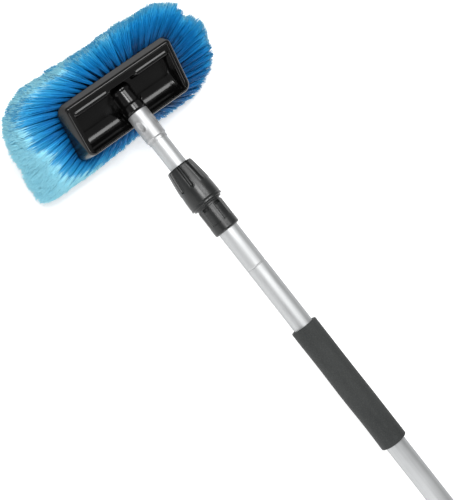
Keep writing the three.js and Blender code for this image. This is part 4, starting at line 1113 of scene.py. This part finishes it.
def build_valve():
    """The valve's body: ribbed socket, barrel, mouth and the stem's boss."""
    mouth_end = span("valve_body")[1]
    shoulder, bore = span("tube_gasket")[1] + FIT, span("outer_tube")[3] + FIT
    barrel = tube_end + VALVE_SHOULDER
    barrel_end = barrel + VALVE_BARREL
    outer = [(tube_end - SOCKET_LENGTH, bore)]
    high = SOCKET_RADIUS + SOCKET_RIB
    for k in range(SOCKET_RIBS):
        x = tube_end - SOCKET_LENGTH + SOCKET_RIB_PITCH * k
        outer += [(x, high), (x + RIB_TOP, high)]
        outer += [(x + RIB_SLOPE, SOCKET_RADIUS), (x + RIB_LAND, SOCKET_RADIUS)]
    edge = VALVE_RADIUS - VALVE_EDGE
    outer += [(tube_end, SOCKET_RADIUS), (barrel, edge), (barrel + VALVE_EDGE, VALVE_RADIUS)]
    outer += [(barrel_end - VALVE_EDGE, VALVE_RADIUS), (barrel_end, edge)]
    wall_end = shoulder + VALVE_WALL
    inner = (VALVE_MOUTH, mouth_end), (POCKET_RADIUS, wall_end), (VALVE_BORE, shoulder)
    outer += [*lands(barrel_end, *inner), (shoulder, bore)]
    boss = rod(BOSS_FOOT, BOSS_HEIGHT, BOSS_RADIUS, matrix=UPRIGHT)
    boss = less(boss, rod(wall_end, mouth_end, POCKET_RADIUS))
    screws = [rod(SCREW_START, VALVE_RADIUS, SCREW_HOLE, 32, side_matrix(side)) for side in (1, -1)]
    stem_hole = rod(0, STEM_REACH, STEM_RADIUS + FIT, matrix=UPRIGHT)
    body = less(fused(revolved(outer), boss), stem_hole, *screws)
    dress(soften(body, "moulded_valve", voxel=0.55, passes=4, matrix=POLE), "valve_body")


def build_lever():
    """A round hub drawn out to a narrower thumb end with ridges."""
    low, top = LEVER_LOW, LEVER_LOW + LEVER_THICKNESS
    lean = asin((LEVER_HUB - LEVER_TIP) / LEVER_LENGTH)
    hub_turn, tip_turn = pi + 2 * lean, pi - 2 * lean
    outline = arc(ball_at, 0, LEVER_HUB, -pi / 2 - lean, hub_turn, steps=40)
    tip = ball_at - LEVER_LENGTH
    outline += arc(tip, 0, LEVER_TIP, pi / 2 + lean, tip_turn, steps=24)
    arm = loft([[(x, y, z) for x, y in outline] for z in (low, top)])
    ridges = []
    for k in range(LEVER_RIDGES):
        x = tip + LEVER_RIDGE_PITCH * k
        near = (x - RIDGE_HALF_WIDTH, -RIDGE_HALF_LENGTH, top - 1)
        far = (x + RIDGE_HALF_WIDTH, RIDGE_HALF_LENGTH, top + LEVER_RIDGE_HEIGHT)
        ridges.append(box(near, far))
    arm = fused(arm, *ridges)
    hole = box((ball_at - STEM_HOLE, -STEM_HOLE, low - 1), (ball_at + STEM_HOLE, STEM_HOLE, top + 1))
    dress(soften(less(arm, hole), "moulded_lever", voxel=0.45, passes=4, matrix=POLE), "valve_lever")


def build_nipple():
    """Hexagon flange, and a tail with a notch for the claws and a groove for the ring."""
    start, nose, *_ = span("hose_nipple")
    flange = span("nipple_gasket")[1] + FIT
    tail = flange + FLANGE_LENGTH
    outside = lands(
        start,
        (POCKET_RADIUS - FIT, flange),
        (TAIL_RADIUS, tail + CLAW_START),
        (CLAW_RADIUS, tail + CLAW_END),
        (TAIL_RADIUS, tail + SEAL_START),
        (SEAL_RADIUS, tail + SEAL_END),
        (NOSE_RADIUS, nose - NOSE_EDGE),
    )
    profile = [(start, NIPPLE_BORE), *outside, (nose, TIP_RADIUS), (nose, NIPPLE_BORE)]
    ring = rod(flange, tail, FLANGE_RADIUS, sides=6)
    ring = less(ring, rod(flange - 1, tail + 1, NIPPLE_BORE))
    body = fused(revolved(profile), ring)
    dress(soften(body, "moulded_nipple", voxel=0.45, passes=3, matrix=POLE), "hose_nipple")


def build_ring():
    """A round rubber ring in place of a coarser one."""
    start, end, low, high = span("nipple_ring")
    section = (end - start) / 2
    x, radius = (start + end) / 2, (low + high) / 2
    loop = circle(x, radius, section, sides=12)
    dress(turned("round_nipple_ring", loop, around=64), "nipple_ring")


build_valve()
build_lever()
build_nipple()
build_ring()


# Camera, light and floor

TURN = radians(17)
# The picture's up, as parts along the pole and along its side
UP_POLE, UP_SIDE = -0.7874, 0.6165
DISTANCE = 1142 * MM
CAMERA_ALONG, CAMERA_ASIDE = 187 * MM, -15.1 * MM
# In pixels of the photograph
PICTURE_HEIGHT, FOCAL_LENGTH = 500, 1000

side_axis = pole_y * cos(TURN) + pole_z * sin(TURN)
view_axis = pole_z * cos(TURN) - pole_y * sin(TURN)
image_right = pole_x * UP_SIDE - side_axis * UP_POLE
image_up = pole_x * UP_POLE + side_axis * UP_SIDE

camera_data = bpy.data.cameras.new("camera")
camera_data.sensor_fit = "VERTICAL"
camera_data.angle = 2 * atan(PICTURE_HEIGHT / 2 / FOCAL_LENGTH)
camera_data.clip_end = 20
camera = placed("camera", camera_data)
camera_matrix = Matrix((image_right, image_up, view_axis)).transposed().to_4x4()
aimed = pole_origin + pole_x * CAMERA_ALONG + side_axis * CAMERA_ASIDE
camera_matrix.translation = aimed + view_axis * DISTANCE
camera.matrix_world = camera_matrix
bpy.context.scene.camera = camera

LIT_PLACE = pole_origin + pole_x * 0.1
FLOOR_REACH, FLOOR_GLOW = 12.0, 0.5


def lamp(name, right, up, towards, size, power):
    """An area lamp placed by image right, image up and height towards the camera, in metres."""
    data = bpy.data.lights.new(name, "AREA")
    data.shape = "RECTANGLE"
    data.size, data.size_y = size
    data.energy = power
    made = placed(name, data)
    place = LIT_PLACE + image_right * right + image_up * up + view_axis * towards
    turn = (LIT_PLACE - place).normalized().to_track_quat("-Z", "Y")
    made.matrix_world = Matrix.Translation(place) @ turn.to_matrix().to_4x4()


lamp("key", 0.0, 0.35, 1.75, (0.5, 0.5), 15.0)
lamp("fill", 0.25, -1.45, 0.8, (0.8, 0.6), 8.0)
lamp("pocket_light", 0.58, 0.86, 1.44, (0.65, 0.65), 12.0)
lamp("left_side", -1.02, -0.8, 0.75, (0.6, 0.9), 2.0)

world = bpy.data.worlds.new("studio")
bpy.context.scene.world = world
world.use_nodes = True
background = world.node_tree.nodes["Background"]
background.inputs["Color"].default_value = (1, 1, 1, 1)
background.inputs["Strength"].default_value = 0.38


def build_floor():
    """A pale floor that camera and glossy rays see as white, apart from the object's shadow."""
    made = Nodes("floor", Roughness=1.0, Specular_IOR_Level=0.0)
    made.shader.inputs["Base Color"].default_value = (0.8, 0.8, 0.8, 1)
    path = made.node("ShaderNodeLightPath")
    inputs = {0: path.outputs["Is Camera Ray"], 1: path.outputs["Is Glossy Ray"]}
    seen = made.node("ShaderNodeMath", inputs, operation="ADD", use_clamp=True).outputs[0]
    white = {"Color": (1, 1, 1, 1)}
    glow = made.node("ShaderNodeEmission", {**white, "Strength": FLOOR_GLOW})
    dark = made.node("ShaderNodeEmission", {**white, "Strength": 0.0})
    chosen = made.node("ShaderNodeMixShader", {0: seen, 1: dark.outputs[0], 2: glow.outputs[0]})
    total = made.node("ShaderNodeAddShader", {0: made.shader.outputs[0], 1: chosen.outputs[0]})
    made.tree.links.new(total.outputs[0], made.tree.nodes["Material Output"].inputs["Surface"])
    signs = [(-1, -1), (1, -1), (1, 1), (-1, 1)]
    corners = [(x * FLOOR_REACH, y * FLOOR_REACH, 0) for x, y in signs]
    floor = mesh_object("floor", corners, [(0, 1, 2, 3)], smooth=False)
    floor.data.materials.append(made.material)


build_floor()

bpy.context.scene.view_settings.view_transform = "Standard"
